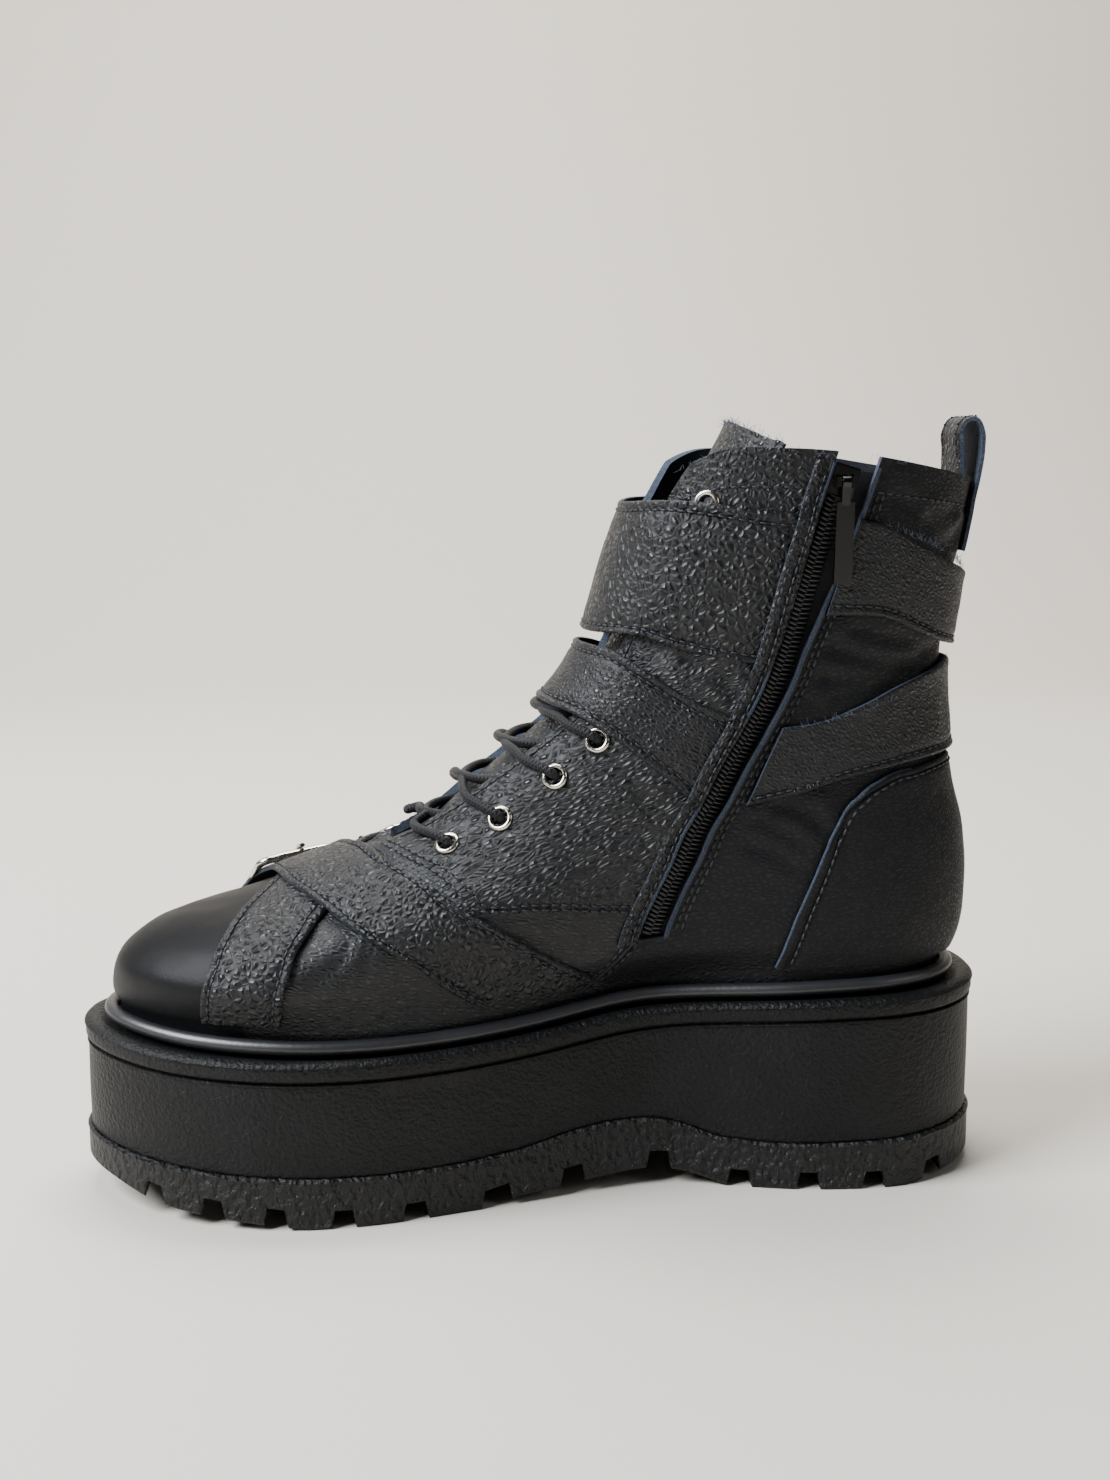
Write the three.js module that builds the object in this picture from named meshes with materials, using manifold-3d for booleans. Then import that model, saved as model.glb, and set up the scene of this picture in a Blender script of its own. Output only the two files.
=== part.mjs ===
// Platform boot for the right foot: laced in front, a zip on the inner side and four buckled straps.
// Millimetres, +Z up. The toe points to -X and the inner side, with the zip, to -Y. The origin is on the
// floor, under the middle of the sole's outline.
//
// Two functions carry the form. `outline` gives a point of the sole's edge, and `surface` gives a point of
// the upper's outer face from `a`, the way round the boot, and `v`, the way up. `a` is 0 at the front,
// -1 at the back over the inner side and +1 at the back over the outer side. `v` is 0 where the upper
// meets the sole and 1 at the collar.
import * as THREE from 'three';
import Module from 'manifold-3d';

const manifoldModule = await Module();
manifoldModule.setup();

// Driving sizes of the boot
const soleLength = 290;
const soleWidth = 107;
const platformHeight = 52.4;
const heelRise = 11.2;
const rimBand = 6.7;
const rimOut = 0.8;
const outsoleOut = 1.0;
const lugDepth = 5.6;
const lugReach = 0.7;
const shelfWidth = 7.6;
const beadRadius = 2.4;
const insoleThick = 3;
const upperHeight = 180;
const wall = 2;
const gap = 0.4;
const layerGap = 0.7;

// Driving sizes of the pieces on the upper
const strapThick = 1.9;
const counterThick = 1;
const tongueThick = 1.6;
const zipSlot = 9;
const zipTapeWidth = 22;
const zipTapeThick = 0.8;
const coilWidth = 5.6;
const coilThick = 1.8;
const eyeletRadius = 4.2;
const eyeletHole = 2.4;
const eyeletHeight = 1.1;
const laceRadius = 1.4;
const buckleWire = 1.25;
const buckleWide = 29.5;
const buckleCorner = 4;
const loopWide = 20;
const loopHigh = 20;
const loopThick = 1.5;
const pullLong = 31;
const pullWide = 5.5;
const pullThick = 1.6;

// The sole's outline, toe to heel: its middle line and its half width before the ends are rounded.
const outlineRows = [
  { s: 0.00, mid: -4.5, half: 41.0 },
  { s: 0.12, mid: -7.4, half: 45.0 },
  { s: 0.30, mid: 0.0, half: 53.5 },
  { s: 0.45, mid: 5.7, half: 47.8 },
  { s: 0.62, mid: 9.0, half: 38.5 },
  { s: 0.80, mid: 2.4, half: 40.3 },
  { s: 1.00, mid: 2.2, half: 39.0 },
];
const toeRounding = 0.26;
const heelRounding = 0.15;

// Heights along the sole: under the lugs, the line between outsole and wall, and the groove below the rim.
const lugRows = [
  { s: 0.00, z: 11.0 }, { s: 0.04, z: 8.8 }, { s: 0.08, z: 5.6 }, { s: 0.14, z: 3.4 }, { s: 0.20, z: 1.7 },
  { s: 0.25, z: 0.0 }, { s: 0.43, z: 0.0 }, { s: 0.47, z: 2.3 }, { s: 0.53, z: 3.8 }, { s: 0.58, z: 5.2 },
  { s: 0.63, z: 5.8 }, { s: 0.67, z: 3.4 }, { s: 0.705, z: 0.0 }, { s: 0.90, z: 0.0 }, { s: 0.94, z: 1.7 },
  { s: 1.00, z: 3.6 },
];
const waveRows = [
  { s: 0.00, z: 20.5 }, { s: 0.07, z: 18.6 }, { s: 0.13, z: 17.4 }, { s: 0.20, z: 16.5 }, { s: 0.35, z: 15.7 },
  { s: 0.42, z: 16.2 }, { s: 0.47, z: 17.8 }, { s: 0.54, z: 21.6 }, { s: 0.58, z: 22.7 }, { s: 0.62, z: 22.5 },
  { s: 0.65, z: 20.8 }, { s: 0.69, z: 16.7 }, { s: 0.72, z: 15.7 }, { s: 0.85, z: 15.7 }, { s: 1.00, z: 18.0 },
];
// `rise` is the share of heelRise that the wall has gained over its height at the ball.
const grooveRows = [
  { s: 0.00, rise: 0.28 }, { s: 0.08, rise: 0.13 }, { s: 0.20, rise: 0.03 }, { s: 0.35, rise: 0.00 },
  { s: 0.42, rise: 0.04 }, { s: 0.50, rise: 0.22 }, { s: 0.59, rise: 0.52 }, { s: 0.72, rise: 0.76 },
  { s: 0.85, rise: 0.93 }, { s: 1.00, rise: 1.00 },
];
// The middle and the width of each notch between two lugs, along the sole.
const notchRows = [
  { s: 0.085, wide: 0.016 }, { s: 0.148, wide: 0.019 }, { s: 0.214, wide: 0.018 }, { s: 0.284, wide: 0.018 },
  { s: 0.359, wide: 0.020 }, { s: 0.446, wide: 0.026 }, { s: 0.530, wide: 0.020 }, { s: 0.627, wide: 0.020 },
  { s: 0.715, wide: 0.020 }, { s: 0.789, wide: 0.020 }, { s: 0.861, wide: 0.020 }, { s: 0.932, wide: 0.018 },
];

// The upper's front and back edges in side view, as x and the share of upperHeight above the rim at the toe.
const frontRows = [
  { v: 0.00, x: -134.6, h: 0.000 }, { v: 0.035, x: -134.8, h: 0.027 }, { v: 0.065, x: -136.8, h: 0.050 },
  { v: 0.10, x: -136.0, h: 0.094 }, { v: 0.16, x: -128.5, h: 0.145 }, { v: 0.22, x: -116.0, h: 0.178 },
  { v: 0.30, x: -98.0, h: 0.206 }, { v: 0.38, x: -78.0, h: 0.240 }, { v: 0.46, x: -58.0, h: 0.279 },
  { v: 0.53, x: -40.0, h: 0.326 }, { v: 0.60, x: -23.0, h: 0.410 }, { v: 0.68, x: -5.0, h: 0.494 },
  { v: 0.76, x: 9.5, h: 0.572 }, { v: 0.82, x: 17.0, h: 0.641 }, { v: 0.88, x: 22.0, h: 0.725 },
  { v: 0.94, x: 27.5, h: 0.825 }, { v: 1.00, x: 34.0, h: 0.931 },
];
const backRows = [
  { v: 0.00, x: 134.6, h: 0.047 }, { v: 0.035, x: 135.0, h: 0.075 }, { v: 0.065, x: 137.4, h: 0.096 },
  { v: 0.10, x: 139.2, h: 0.119 }, { v: 0.22, x: 141.3, h: 0.218 }, { v: 0.35, x: 140.0, h: 0.313 },
  { v: 0.48, x: 136.0, h: 0.402 }, { v: 0.60, x: 133.5, h: 0.491 }, { v: 0.75, x: 132.0, h: 0.619 },
  { v: 0.87, x: 134.5, h: 0.752 }, { v: 1.00, x: 140.5, h: 0.942 },
];
// How far the round of the toe or instep, and of the heel, reaches along the boot.
const roundRows = [
  { v: 0.00, front: 70, back: 40 }, { v: 0.10, front: 76, back: 44 }, { v: 0.20, front: 102, back: 46 },
  { v: 0.30, front: 125, back: 46 }, { v: 0.40, front: 125, back: 45 }, { v: 0.50, front: 110, back: 43 },
  { v: 0.60, front: 85, back: 42 }, { v: 0.70, front: 66, back: 41 }, { v: 0.80, front: 54, back: 42 },
  { v: 0.90, front: 50, back: 45 }, { v: 1.00, front: 52, back: 48 },
];
// Half widths of the upper at five places between front and back.
const widthRows = [
  { v: 0.00, w: [39, 43.2, 35, 29.5, 28.5] }, { v: 0.08, w: [42, 46, 37, 32, 30.5] },
  { v: 0.16, w: [44, 47.5, 38.5, 33.5, 31.5] }, { v: 0.30, w: [44, 45, 38, 34, 31.5] },
  { v: 0.50, w: [40, 39, 36.5, 34, 30] }, { v: 0.70, w: [36, 36, 36, 34, 29] },
  { v: 0.85, w: [37, 37, 37, 36, 31] }, { v: 1.00, w: [39, 39, 39, 38, 34] },
];
// How far the collar's edge lies above the straight line from its front to its back.
const collarRows = [
  { t: 0.0, z: 0 }, { t: 0.1, z: 6 }, { t: 0.2, z: 10.5 }, { t: 0.35, z: 11 }, { t: 0.55, z: 9.3 },
  { t: 0.8, z: 4.5 }, { t: 1.0, z: 0 },
];
// The throat between the quarters, and the zip, as `a` at each height.
const throatRows = [
  { v: 0.00, a: 0.100 }, { v: 0.40, a: 0.070 }, { v: 0.50, a: 0.050 }, { v: 0.54, a: 0.085 },
  { v: 0.60, a: 0.135 }, { v: 0.68, a: 0.165 }, { v: 0.80, a: 0.175 }, { v: 1.00, a: 0.160 },
];
const zipRows = [
  { v: 0.00, a: -0.580 }, { v: 0.15, a: -0.568 }, { v: 0.25, a: -0.557 }, { v: 0.37, a: -0.542 },
  { v: 0.50, a: -0.522 }, { v: 0.60, a: -0.514 }, { v: 0.72, a: -0.512 }, { v: 0.85, a: -0.512 },
  { v: 0.93, a: -0.522 }, { v: 1.00, a: -0.534 },
];
const throatFoot = 0.5;
const zipFoot = 0.15;

// Straps: one row per section, with the lower and the upper edge on the upper and the lift above it.
const strapToeRows = [
  { lowA: -0.222, lowV: 0.066, highA: -0.299, highV: 0.066, lift: 0.5 },
  { lowA: -0.220, lowV: 0.100, highA: -0.297, highV: 0.105, lift: 0.5 },
  { lowA: -0.211, lowV: 0.149, highA: -0.290, highV: 0.150, lift: 0.5 },
  { lowA: -0.179, lowV: 0.209, highA: -0.272, highV: 0.205, lift: 0.5 },
  { lowA: -0.127, lowV: 0.277, highA: -0.252, highV: 0.260, lift: 0.5 },
  { lowA: -0.055, lowV: 0.338, highA: -0.200, highV: 0.350, lift: 0.5 },
  { lowA: 0.031, lowV: 0.365, highA: -0.090, highV: 0.440, lift: 0.5 },
  { lowA: 0.125, lowV: 0.350, highA: 0.060, highV: 0.462, lift: 0.5 },
  { lowA: 0.205, lowV: 0.312, highA: 0.190, highV: 0.432, lift: 0.6 },
  { lowA: 0.262, lowV: 0.268, highA: 0.290, highV: 0.340, lift: 0.6 },
  { lowA: 0.318, lowV: 0.212, highA: 0.358, highV: 0.256, lift: 0.6 },
  { lowA: 0.385, lowV: 0.135, highA: 0.432, highV: 0.158, lift: 0.5 },
  { lowA: 0.440, lowV: 0.070, highA: 0.497, highV: 0.078, lift: 0.5 },
];
const strapVampRows = [
  { lowA: -0.447, lowV: 0.070, highA: -0.538, highV: 0.074, lift: 0.5 },
  { lowA: -0.422, lowV: 0.104, highA: -0.515, highV: 0.110, lift: 0.5 },
  { lowA: -0.384, lowV: 0.161, highA: -0.478, highV: 0.160, lift: 0.5 },
  { lowA: -0.331, lowV: 0.213, highA: -0.430, highV: 0.225, lift: 0.5 },
  { lowA: -0.291, lowV: 0.249, highA: -0.370, highV: 0.295, lift: 1.6 },
  { lowA: -0.224, lowV: 0.305, highA: -0.299, highV: 0.369, lift: 3.0 },
  { lowA: -0.138, lowV: 0.345, highA: -0.200, highV: 0.430, lift: 3.0 },
  { lowA: -0.031, lowV: 0.361, highA: -0.057, highV: 0.468, lift: 3.0 },
  { lowA: 0.068, lowV: 0.338, highA: 0.092, highV: 0.424, lift: 3.2 },
  { lowA: 0.138, lowV: 0.285, highA: 0.188, highV: 0.345, lift: 3.0 },
  { lowA: 0.180, lowV: 0.228, highA: 0.238, highV: 0.268, lift: 2.2 },
  { lowA: 0.208, lowV: 0.160, highA: 0.278, highV: 0.178, lift: 1.3 },
  { lowA: 0.222, lowV: 0.070, highA: 0.294, highV: 0.074, lift: 1.3 },
];
const strapInstepFrontRows = [
  { lowA: -0.474, lowV: 0.550, highA: -0.460, highV: 0.700, lift: 0.5 },
  { lowA: -0.436, lowV: 0.590, highA: -0.415, highV: 0.718, lift: 0.5 },
  { lowA: -0.349, lowV: 0.646, highA: -0.340, highV: 0.752, lift: 0.6 },
  { lowA: -0.270, lowV: 0.683, highA: -0.260, highV: 0.786, lift: 2.2 },
  { lowA: -0.160, lowV: 0.714, highA: -0.157, highV: 0.817, lift: 3.2 },
  { lowA: 0.000, lowV: 0.724, highA: 0.000, highV: 0.826, lift: 3.4 },
  { lowA: 0.150, lowV: 0.712, highA: 0.150, highV: 0.812, lift: 3.2 },
  { lowA: 0.260, lowV: 0.685, highA: 0.260, highV: 0.783, lift: 2.8 },
  { lowA: 0.340, lowV: 0.646, highA: 0.340, highV: 0.744, lift: 0.9 },
  { lowA: 0.410, lowV: 0.606, highA: 0.410, highV: 0.704, lift: 2.2 },
  { lowA: 0.475, lowV: 0.566, highA: 0.475, highV: 0.662, lift: 2.9 },
  { lowA: 0.535, lowV: 0.550, highA: 0.535, highV: 0.645, lift: 2.9 },
  { lowA: 0.600, lowV: 0.555, highA: 0.600, highV: 0.635, lift: 2.9 },
];
const strapInstepBackRows = [
  { lowA: -0.572, lowV: 0.522, highA: -0.570, highV: 0.665, lift: 0.5 },
  { lowA: -0.618, lowV: 0.534, highA: -0.610, highV: 0.671, lift: 0.5 },
  { lowA: -0.672, lowV: 0.552, highA: -0.664, highV: 0.695, lift: 0.5 },
  { lowA: -0.750, lowV: 0.562, highA: -0.738, highV: 0.727, lift: 0.9 },
  { lowA: -0.860, lowV: 0.565, highA: -0.860, highV: 0.751, lift: 1.6 },
  { lowA: -1.000, lowV: 0.565, highA: -1.000, highV: 0.757, lift: 1.9 },
  { lowA: -1.140, lowV: 0.565, highA: -1.140, highV: 0.751, lift: 1.6 },
  { lowA: -1.250, lowV: 0.560, highA: -1.260, highV: 0.722, lift: 0.9 },
  { lowA: -1.330, lowV: 0.552, highA: -1.340, highV: 0.685, lift: 0.5 },
  { lowA: -1.400, lowV: 0.550, highA: -1.400, highV: 0.655, lift: 0.5 },
  { lowA: -1.500, lowV: 0.558, highA: -1.500, highV: 0.648, lift: 0.5 },
];
const strapCuffRows = [
  { lowA: -0.452, lowV: 0.781, highA: -0.468, highV: 0.946, lift: 0.5 },
  { lowA: -0.390, lowV: 0.795, highA: -0.400, highV: 0.948, lift: 0.5 },
  { lowA: -0.309, lowV: 0.811, highA: -0.310, highV: 0.955, lift: 1.4 },
  { lowA: -0.224, lowV: 0.832, highA: -0.224, highV: 0.966, lift: 3.0 },
  { lowA: -0.120, lowV: 0.840, highA: -0.120, highV: 0.976, lift: 3.2 },
  { lowA: 0.000, lowV: 0.842, highA: 0.000, highV: 0.980, lift: 3.2 },
  { lowA: 0.120, lowV: 0.840, highA: 0.120, highV: 0.976, lift: 3.2 },
  { lowA: 0.224, lowV: 0.832, highA: 0.224, highV: 0.966, lift: 2.6 },
  { lowA: 0.320, lowV: 0.818, highA: 0.320, highV: 0.957, lift: 0.6 },
  { lowA: 0.420, lowV: 0.800, highA: 0.420, highV: 0.950, lift: 0.5 },
  { lowA: 0.480, lowV: 0.812, highA: 0.480, highV: 0.935, lift: 0.5 },
];
const strapTabRows = [
  { lowA: 0.250, lowV: 0.842, highA: 0.250, highV: 0.925, lift: 4.9 },
  { lowA: 0.320, lowV: 0.834, highA: 0.320, highV: 0.920, lift: 3.0 },
  { lowA: 0.400, lowV: 0.822, highA: 0.400, highV: 0.908, lift: 2.9 },
  { lowA: 0.480, lowV: 0.812, highA: 0.480, highV: 0.898, lift: 2.9 },
  { lowA: 0.535, lowV: 0.808, highA: 0.535, highV: 0.893, lift: 2.9 },
  { lowA: 0.600, lowV: 0.806, highA: 0.600, highV: 0.892, lift: 2.9 },
  { lowA: 0.660, lowV: 0.806, highA: 0.660, highV: 0.890, lift: 3.0 },
  { lowA: 0.740, lowV: 0.812, highA: 0.740, highV: 0.884, lift: 2.9 },
];
const strapAnkleBackRows = [
  { lowA: -0.596, lowV: 0.842, highA: -0.600, highV: 0.943, lift: 0.5 },
  { lowA: -0.640, lowV: 0.840, highA: -0.640, highV: 0.938, lift: 0.5 },
  { lowA: -0.697, lowV: 0.831, highA: -0.690, highV: 0.928, lift: 0.5 },
  { lowA: -0.760, lowV: 0.813, highA: -0.750, highV: 0.916, lift: 1.2 },
  { lowA: -0.860, lowV: 0.790, highA: -0.860, highV: 0.900, lift: 2.4 },
  { lowA: -1.000, lowV: 0.778, highA: -1.000, highV: 0.890, lift: 3.0 },
  { lowA: -1.140, lowV: 0.785, highA: -1.140, highV: 0.892, lift: 2.4 },
  { lowA: -1.240, lowV: 0.800, highA: -1.240, highV: 0.894, lift: 0.9 },
  { lowA: -1.310, lowV: 0.806, highA: -1.310, highV: 0.893, lift: 0.5 },
  { lowA: -1.375, lowV: 0.808, highA: -1.375, highV: 0.893, lift: 0.5 },
];
// The counter's upper edge, from its front seam to the back of the heel.
const counterRows = [
  { a: 0.682, v: 0.400 }, { a: 0.688, v: 0.455 }, { a: 0.705, v: 0.505 }, { a: 0.735, v: 0.535 },
  { a: 0.800, v: 0.545 }, { a: 1.000, v: 0.545 },
];
// The tongue: how far it leans back from the upper's inner face at each height, and its half width as `a`.
const tongueRows = [
  { v: 0.47, back: 0.0, a: 0.14 }, { v: 0.60, back: 0.0, a: 0.24 }, { v: 0.75, back: 1.0, a: 0.27 },
  { v: 0.88, back: 6.0, a: 0.27 }, { v: 0.97, back: 14.0, a: 0.27 }, { v: 1.06, back: 22.0, a: 0.25 },
];
// Eyelets of the inner side. The outer side has the same ones.
const eyeletRows = [
  { v: 0.494, a: -0.213 }, { v: 0.546, a: -0.241 }, { v: 0.606, a: -0.268 }, { v: 0.666, a: -0.280 },
  { v: 0.975, a: -0.285 },
];
// Buckles: the two cross bars on the upper, the heel bar first, and the height of each above it.
const buckleRows = [
  { name: 'toe', heelA: 0.350, heelV: 0.232, heelUp: 4.7, frontA: 0.222, frontV: 0.355, frontUp: 5.8 },
  { name: 'vamp', heelA: 0.226, heelV: 0.222, heelUp: 6.4, frontA: 0.108, frontV: 0.366, frontUp: 7.6 },
  { name: 'instep', heelA: 0.482, heelV: 0.612, heelUp: 7.2, frontA: 0.338, frontV: 0.694, frontUp: 5.8 },
  { name: 'ankle', heelA: 0.600, heelV: 0.849, heelUp: 6.5, frontA: 0.455, frontV: 0.858, frontUp: 6.5 },
];

const leather = new THREE.MeshStandardMaterial({ color: 0x17181c, roughness: 0.5 });
const rubber = new THREE.MeshStandardMaterial({ color: 0x101010, roughness: 0.8 });
const metal = new THREE.MeshStandardMaterial({ color: 0xc8c2b8, roughness: 0.25, metalness: 1 });
const black = new THREE.MeshStandardMaterial({ color: 0x0c0c0d, roughness: 0.4 });

const boot = new THREE.Group();
boot.name = 'platform_boot';

// A smooth curve through one column of a table, straight beyond its ends.
function curve(rows, key, column, at) {
  const last = rows.length - 1;
  const slope = (i) => (rows[i + 1][column] - rows[i][column]) / (rows[i + 1][key] - rows[i][key]);
  const step = (i) => rows[i + 1][key] - rows[i][key];
  const tangent = (i) => {
    if (i === 0) return slope(0);
    if (i === last) return slope(last - 1);
    return (slope(i) * step(i - 1) + slope(i - 1) * step(i)) / (step(i) + step(i - 1));
  };
  if (at <= rows[0][key]) return rows[0][column] + (at - rows[0][key]) * slope(0);
  if (at >= rows[last][key]) return rows[last][column] + (at - rows[last][key]) * slope(last - 1);
  let i = 0;
  while (at > rows[i + 1][key]) i += 1;
  const size = step(i);
  const t = (at - rows[i][key]) / size;
  const t2 = t * t;
  const t3 = t2 * t;
  return (2 * t3 - 3 * t2 + 1) * rows[i][column] + (t3 - 2 * t2 + t) * size * tangent(i)
    + (3 * t2 - 2 * t3) * rows[i + 1][column] + (t3 - t2) * size * tangent(i + 1);
}

const mix = (from, to, share) => from + (to - from) * share;
const clamp01 = (x) => Math.min(Math.max(x, 0), 1);
const smooth = (x) => clamp01(x) ** 2 * (3 - 2 * clamp01(x));
const roundEnd = (distance, reach) => (1 - clamp01(1 - distance / reach) ** 2.2) ** (1 / 2.2);

// The sole
const tableHalf = 53.5;
const halfAt = (s) => curve(outlineRows, 's', 'half', s) * soleWidth / (2 * tableHalf);
const midAt = (s) => curve(outlineRows, 's', 'mid', s);
const lugZ = (s) => Math.max(curve(lugRows, 's', 'z', s), 0);
const waveZ = (s) => curve(waveRows, 's', 'z', s);
const rimZ = (s) => platformHeight + heelRise * curve(grooveRows, 's', 'rise', s);
const grooveZ = (s) => rimZ(s) - rimBand;

// A point of the outline moved out by `out`; `across` is -1 at the inner edge and 1 at the outer one.
function outline(s, across, out, z) {
  const x = -soleLength / 2 - out + (soleLength + 2 * out) * s;
  const ends = roundEnd(s, toeRounding) * roundEnd(1 - s, heelRounding);
  return new THREE.Vector3(x, midAt(s) + across * (halfAt(s) + out) * ends, z);
}

// The upper
const feather = shelfWidth + beadRadius + gap;
const rimTop = rimZ(0) - 0.5;
const tableFeather = 134.6;
const lengthShare = (soleLength / 2 - feather) / tableFeather;
const frontX = (v) => curve(frontRows, 'v', 'x', v) * lengthShare;
const backX = (v) => curve(backRows, 'v', 'x', v) * lengthShare;

function halfWidth(v, t) {
  const columns = [0, 1, 2, 3, 4];
  const rows = columns.map((k) => {
    const table = widthRows.map((row) => ({ v: row.v, w: row.w[k] }));
    return { t: k / 4, w: curve(table, 'v', 'w', v) };
  });
  return curve(rows, 't', 'w', t) * soleWidth / (2 * tableHalf);
}

function surface(a, v) {
  const way = a < -1 ? a + 2 : a;
  const side = Math.sign(way);
  const t = (1 - Math.cos(Math.PI * way)) / 2;
  const front = frontX(v);
  const back = backX(v);
  const low = (1 - clamp01(v)) ** 4;
  const level = mix(curve(frontRows, 'v', 'h', v), curve(backRows, 'v', 'h', v), t) * upperHeight + rimTop;
  const levelFoot = mix(0, backRows[0].h * upperHeight, t) + rimTop;
  const z = level + (rimZ(t) - 0.5 - levelFoot) * low + curve(collarRows, 't', 'z', t) * Math.min(v, 1) ** 6;
  const length = back - front;
  const ends = roundEnd(t * length, curve(roundRows, 'v', 'front', v))
    * roundEnd((1 - t) * length, curve(roundRows, 'v', 'back', v));
  const x = mix(front, back, t);
  const legShare = 1 - clamp01(1 - v) ** 1.5;
  const body = mix(midAt(clamp01(x / soleLength + 0.5)), 2.7, legShare) + side * halfWidth(v, t) * ends;
  const foot = outline(t, side, -feather, z).y;
  return new THREE.Vector3(x, mix(foot, body, smooth((v - 0.035) / 0.085)), z);
}

function normal(a, v) {
  const e = 0.002;
  const round = surface(a + e, v).sub(surface(a - e, v));
  const up = surface(a, v + e).sub(surface(a, v - e));
  return up.cross(round).normalize();
}

// A point `up` millimetres outside the upper's face.
const above = (a, v, up) => surface(a, v).addScaledVector(normal(a, v), up);
// The change of `a` that is `mm` millimetres long at this place.
const wayOf = (a, v, mm) => mm / (surface(a + 0.01, v).distanceTo(surface(a - 0.01, v)) / 0.02);

// Solids
function addSolid(name, material, points, faces) {
  const corner = new Map();
  const position = [];
  const indexOf = points.map((p) => {
    const key = p.toArray().map((c) => Math.round(c * 1e5)).join();
    if (!corner.has(key)) {
      corner.set(key, position.length / 3);
      position.push(p.x, p.y, p.z);
    }
    return corner.get(key);
  });
  const triangles = [];
  let volume = 0;
  for (const face of faces) {
    const [i, j, k] = face.map((n) => indexOf[n]);
    if (i === j || j === k || i === k) continue;
    triangles.push([i, j, k]);
    const [p, q, r] = [i, j, k].map((n) => new THREE.Vector3(...position.slice(3 * n, 3 * n + 3)));
    volume += p.dot(q.cross(r)) / 6;
  }
  const index = triangles.flatMap(([i, j, k]) => (volume < 0 ? [i, k, j] : [i, j, k]));
  const geometry = new THREE.BufferGeometry();
  geometry.setAttribute('position', new THREE.Float32BufferAttribute(position, 3));
  geometry.setIndex(index);
  return addMesh(name, material, geometry);
}

function addMesh(name, material, geometry) {
  geometry.computeVertexNormals();
  const mesh = new THREE.Mesh(geometry, material);
  mesh.name = name;
  boot.add(mesh);
  return mesh;
}

// A sheet of one thickness on a grid: outer and inner faces, joined round the edge of the present cells.
function shellParts(columns, rows, outer, inner, closed = false, present = () => true) {
  const width = columns.length;
  const points = [];
  for (const face of [outer, inner]) {
    rows.forEach((row) => columns.forEach((column) => points.push(face(column, row))));
  }
  const at = (layer, i, j) => layer * width * rows.length + j * width + (i % width);
  const cells = closed ? width : width - 1;
  const inGrid = (i, j) => (closed || (i >= 0 && i < cells)) && j >= 0 && j < rows.length - 1;
  const has = (i, j) => inGrid(i, j) && present((i + width) % width, j);
  const faces = [];
  const quad = (p, q, r, s) => faces.push([p, q, r], [p, r, s]);
  for (let j = 0; j < rows.length - 1; j += 1) {
    for (let i = 0; i < cells; i += 1) {
      if (!has(i, j)) continue;
      quad(at(0, i, j), at(0, i + 1, j), at(0, i + 1, j + 1), at(0, i, j + 1));
      quad(at(1, i, j), at(1, i, j + 1), at(1, i + 1, j + 1), at(1, i + 1, j));
      if (!has(i, j - 1)) quad(at(0, i, j), at(1, i, j), at(1, i + 1, j), at(0, i + 1, j));
      if (!has(i, j + 1)) quad(at(0, i, j + 1), at(0, i + 1, j + 1), at(1, i + 1, j + 1), at(1, i, j + 1));
      if (!has(i - 1, j)) quad(at(0, i, j), at(0, i, j + 1), at(1, i, j + 1), at(1, i, j));
      if (!has(i + 1, j)) quad(at(0, i + 1, j), at(1, i + 1, j), at(1, i + 1, j + 1), at(0, i + 1, j + 1));
    }
  }
  return [points, faces];
}

const range = (from, to, count) => Array.from({ length: count + 1 }, (_, i) => mix(from, to, i / count));

// A round cord along points; `up` turns its sections. A closed one has no ends.
function cordParts(path, radius, sides, up, closed = false) {
  const points = [];
  const faces = [];
  const count = path.length;
  path.forEach((centre, i) => {
    const next = path[closed ? (i + 1) % count : Math.min(i + 1, count - 1)];
    const before = path[closed ? (i + count - 1) % count : Math.max(i - 1, 0)];
    const along = next.clone().sub(before).normalize();
    const sideways = up.clone().cross(along).normalize();
    const upward = along.clone().cross(sideways);
    for (let k = 0; k < sides; k += 1) {
      const angle = (2 * Math.PI * (k + 0.5)) / sides;
      points.push(centre.clone().addScaledVector(sideways, radius * Math.cos(angle))
        .addScaledVector(upward, radius * Math.sin(angle)));
    }
  });
  const rings = closed ? count : count - 1;
  for (let i = 0; i < rings; i += 1) {
    for (let k = 0; k < sides; k += 1) {
      const n = (k + 1) % sides;
      const j = (i + 1) % count;
      faces.push([i * sides + k, i * sides + n, j * sides + n], [i * sides + k, j * sides + n, j * sides + k]);
    }
  }
  if (!closed) {
    for (let k = 1; k < sides - 1; k += 1) {
      const end = (count - 1) * sides;
      faces.push([0, k + 1, k], [end, end + k, end + k + 1]);
    }
  }
  return [points, faces];
}

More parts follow.
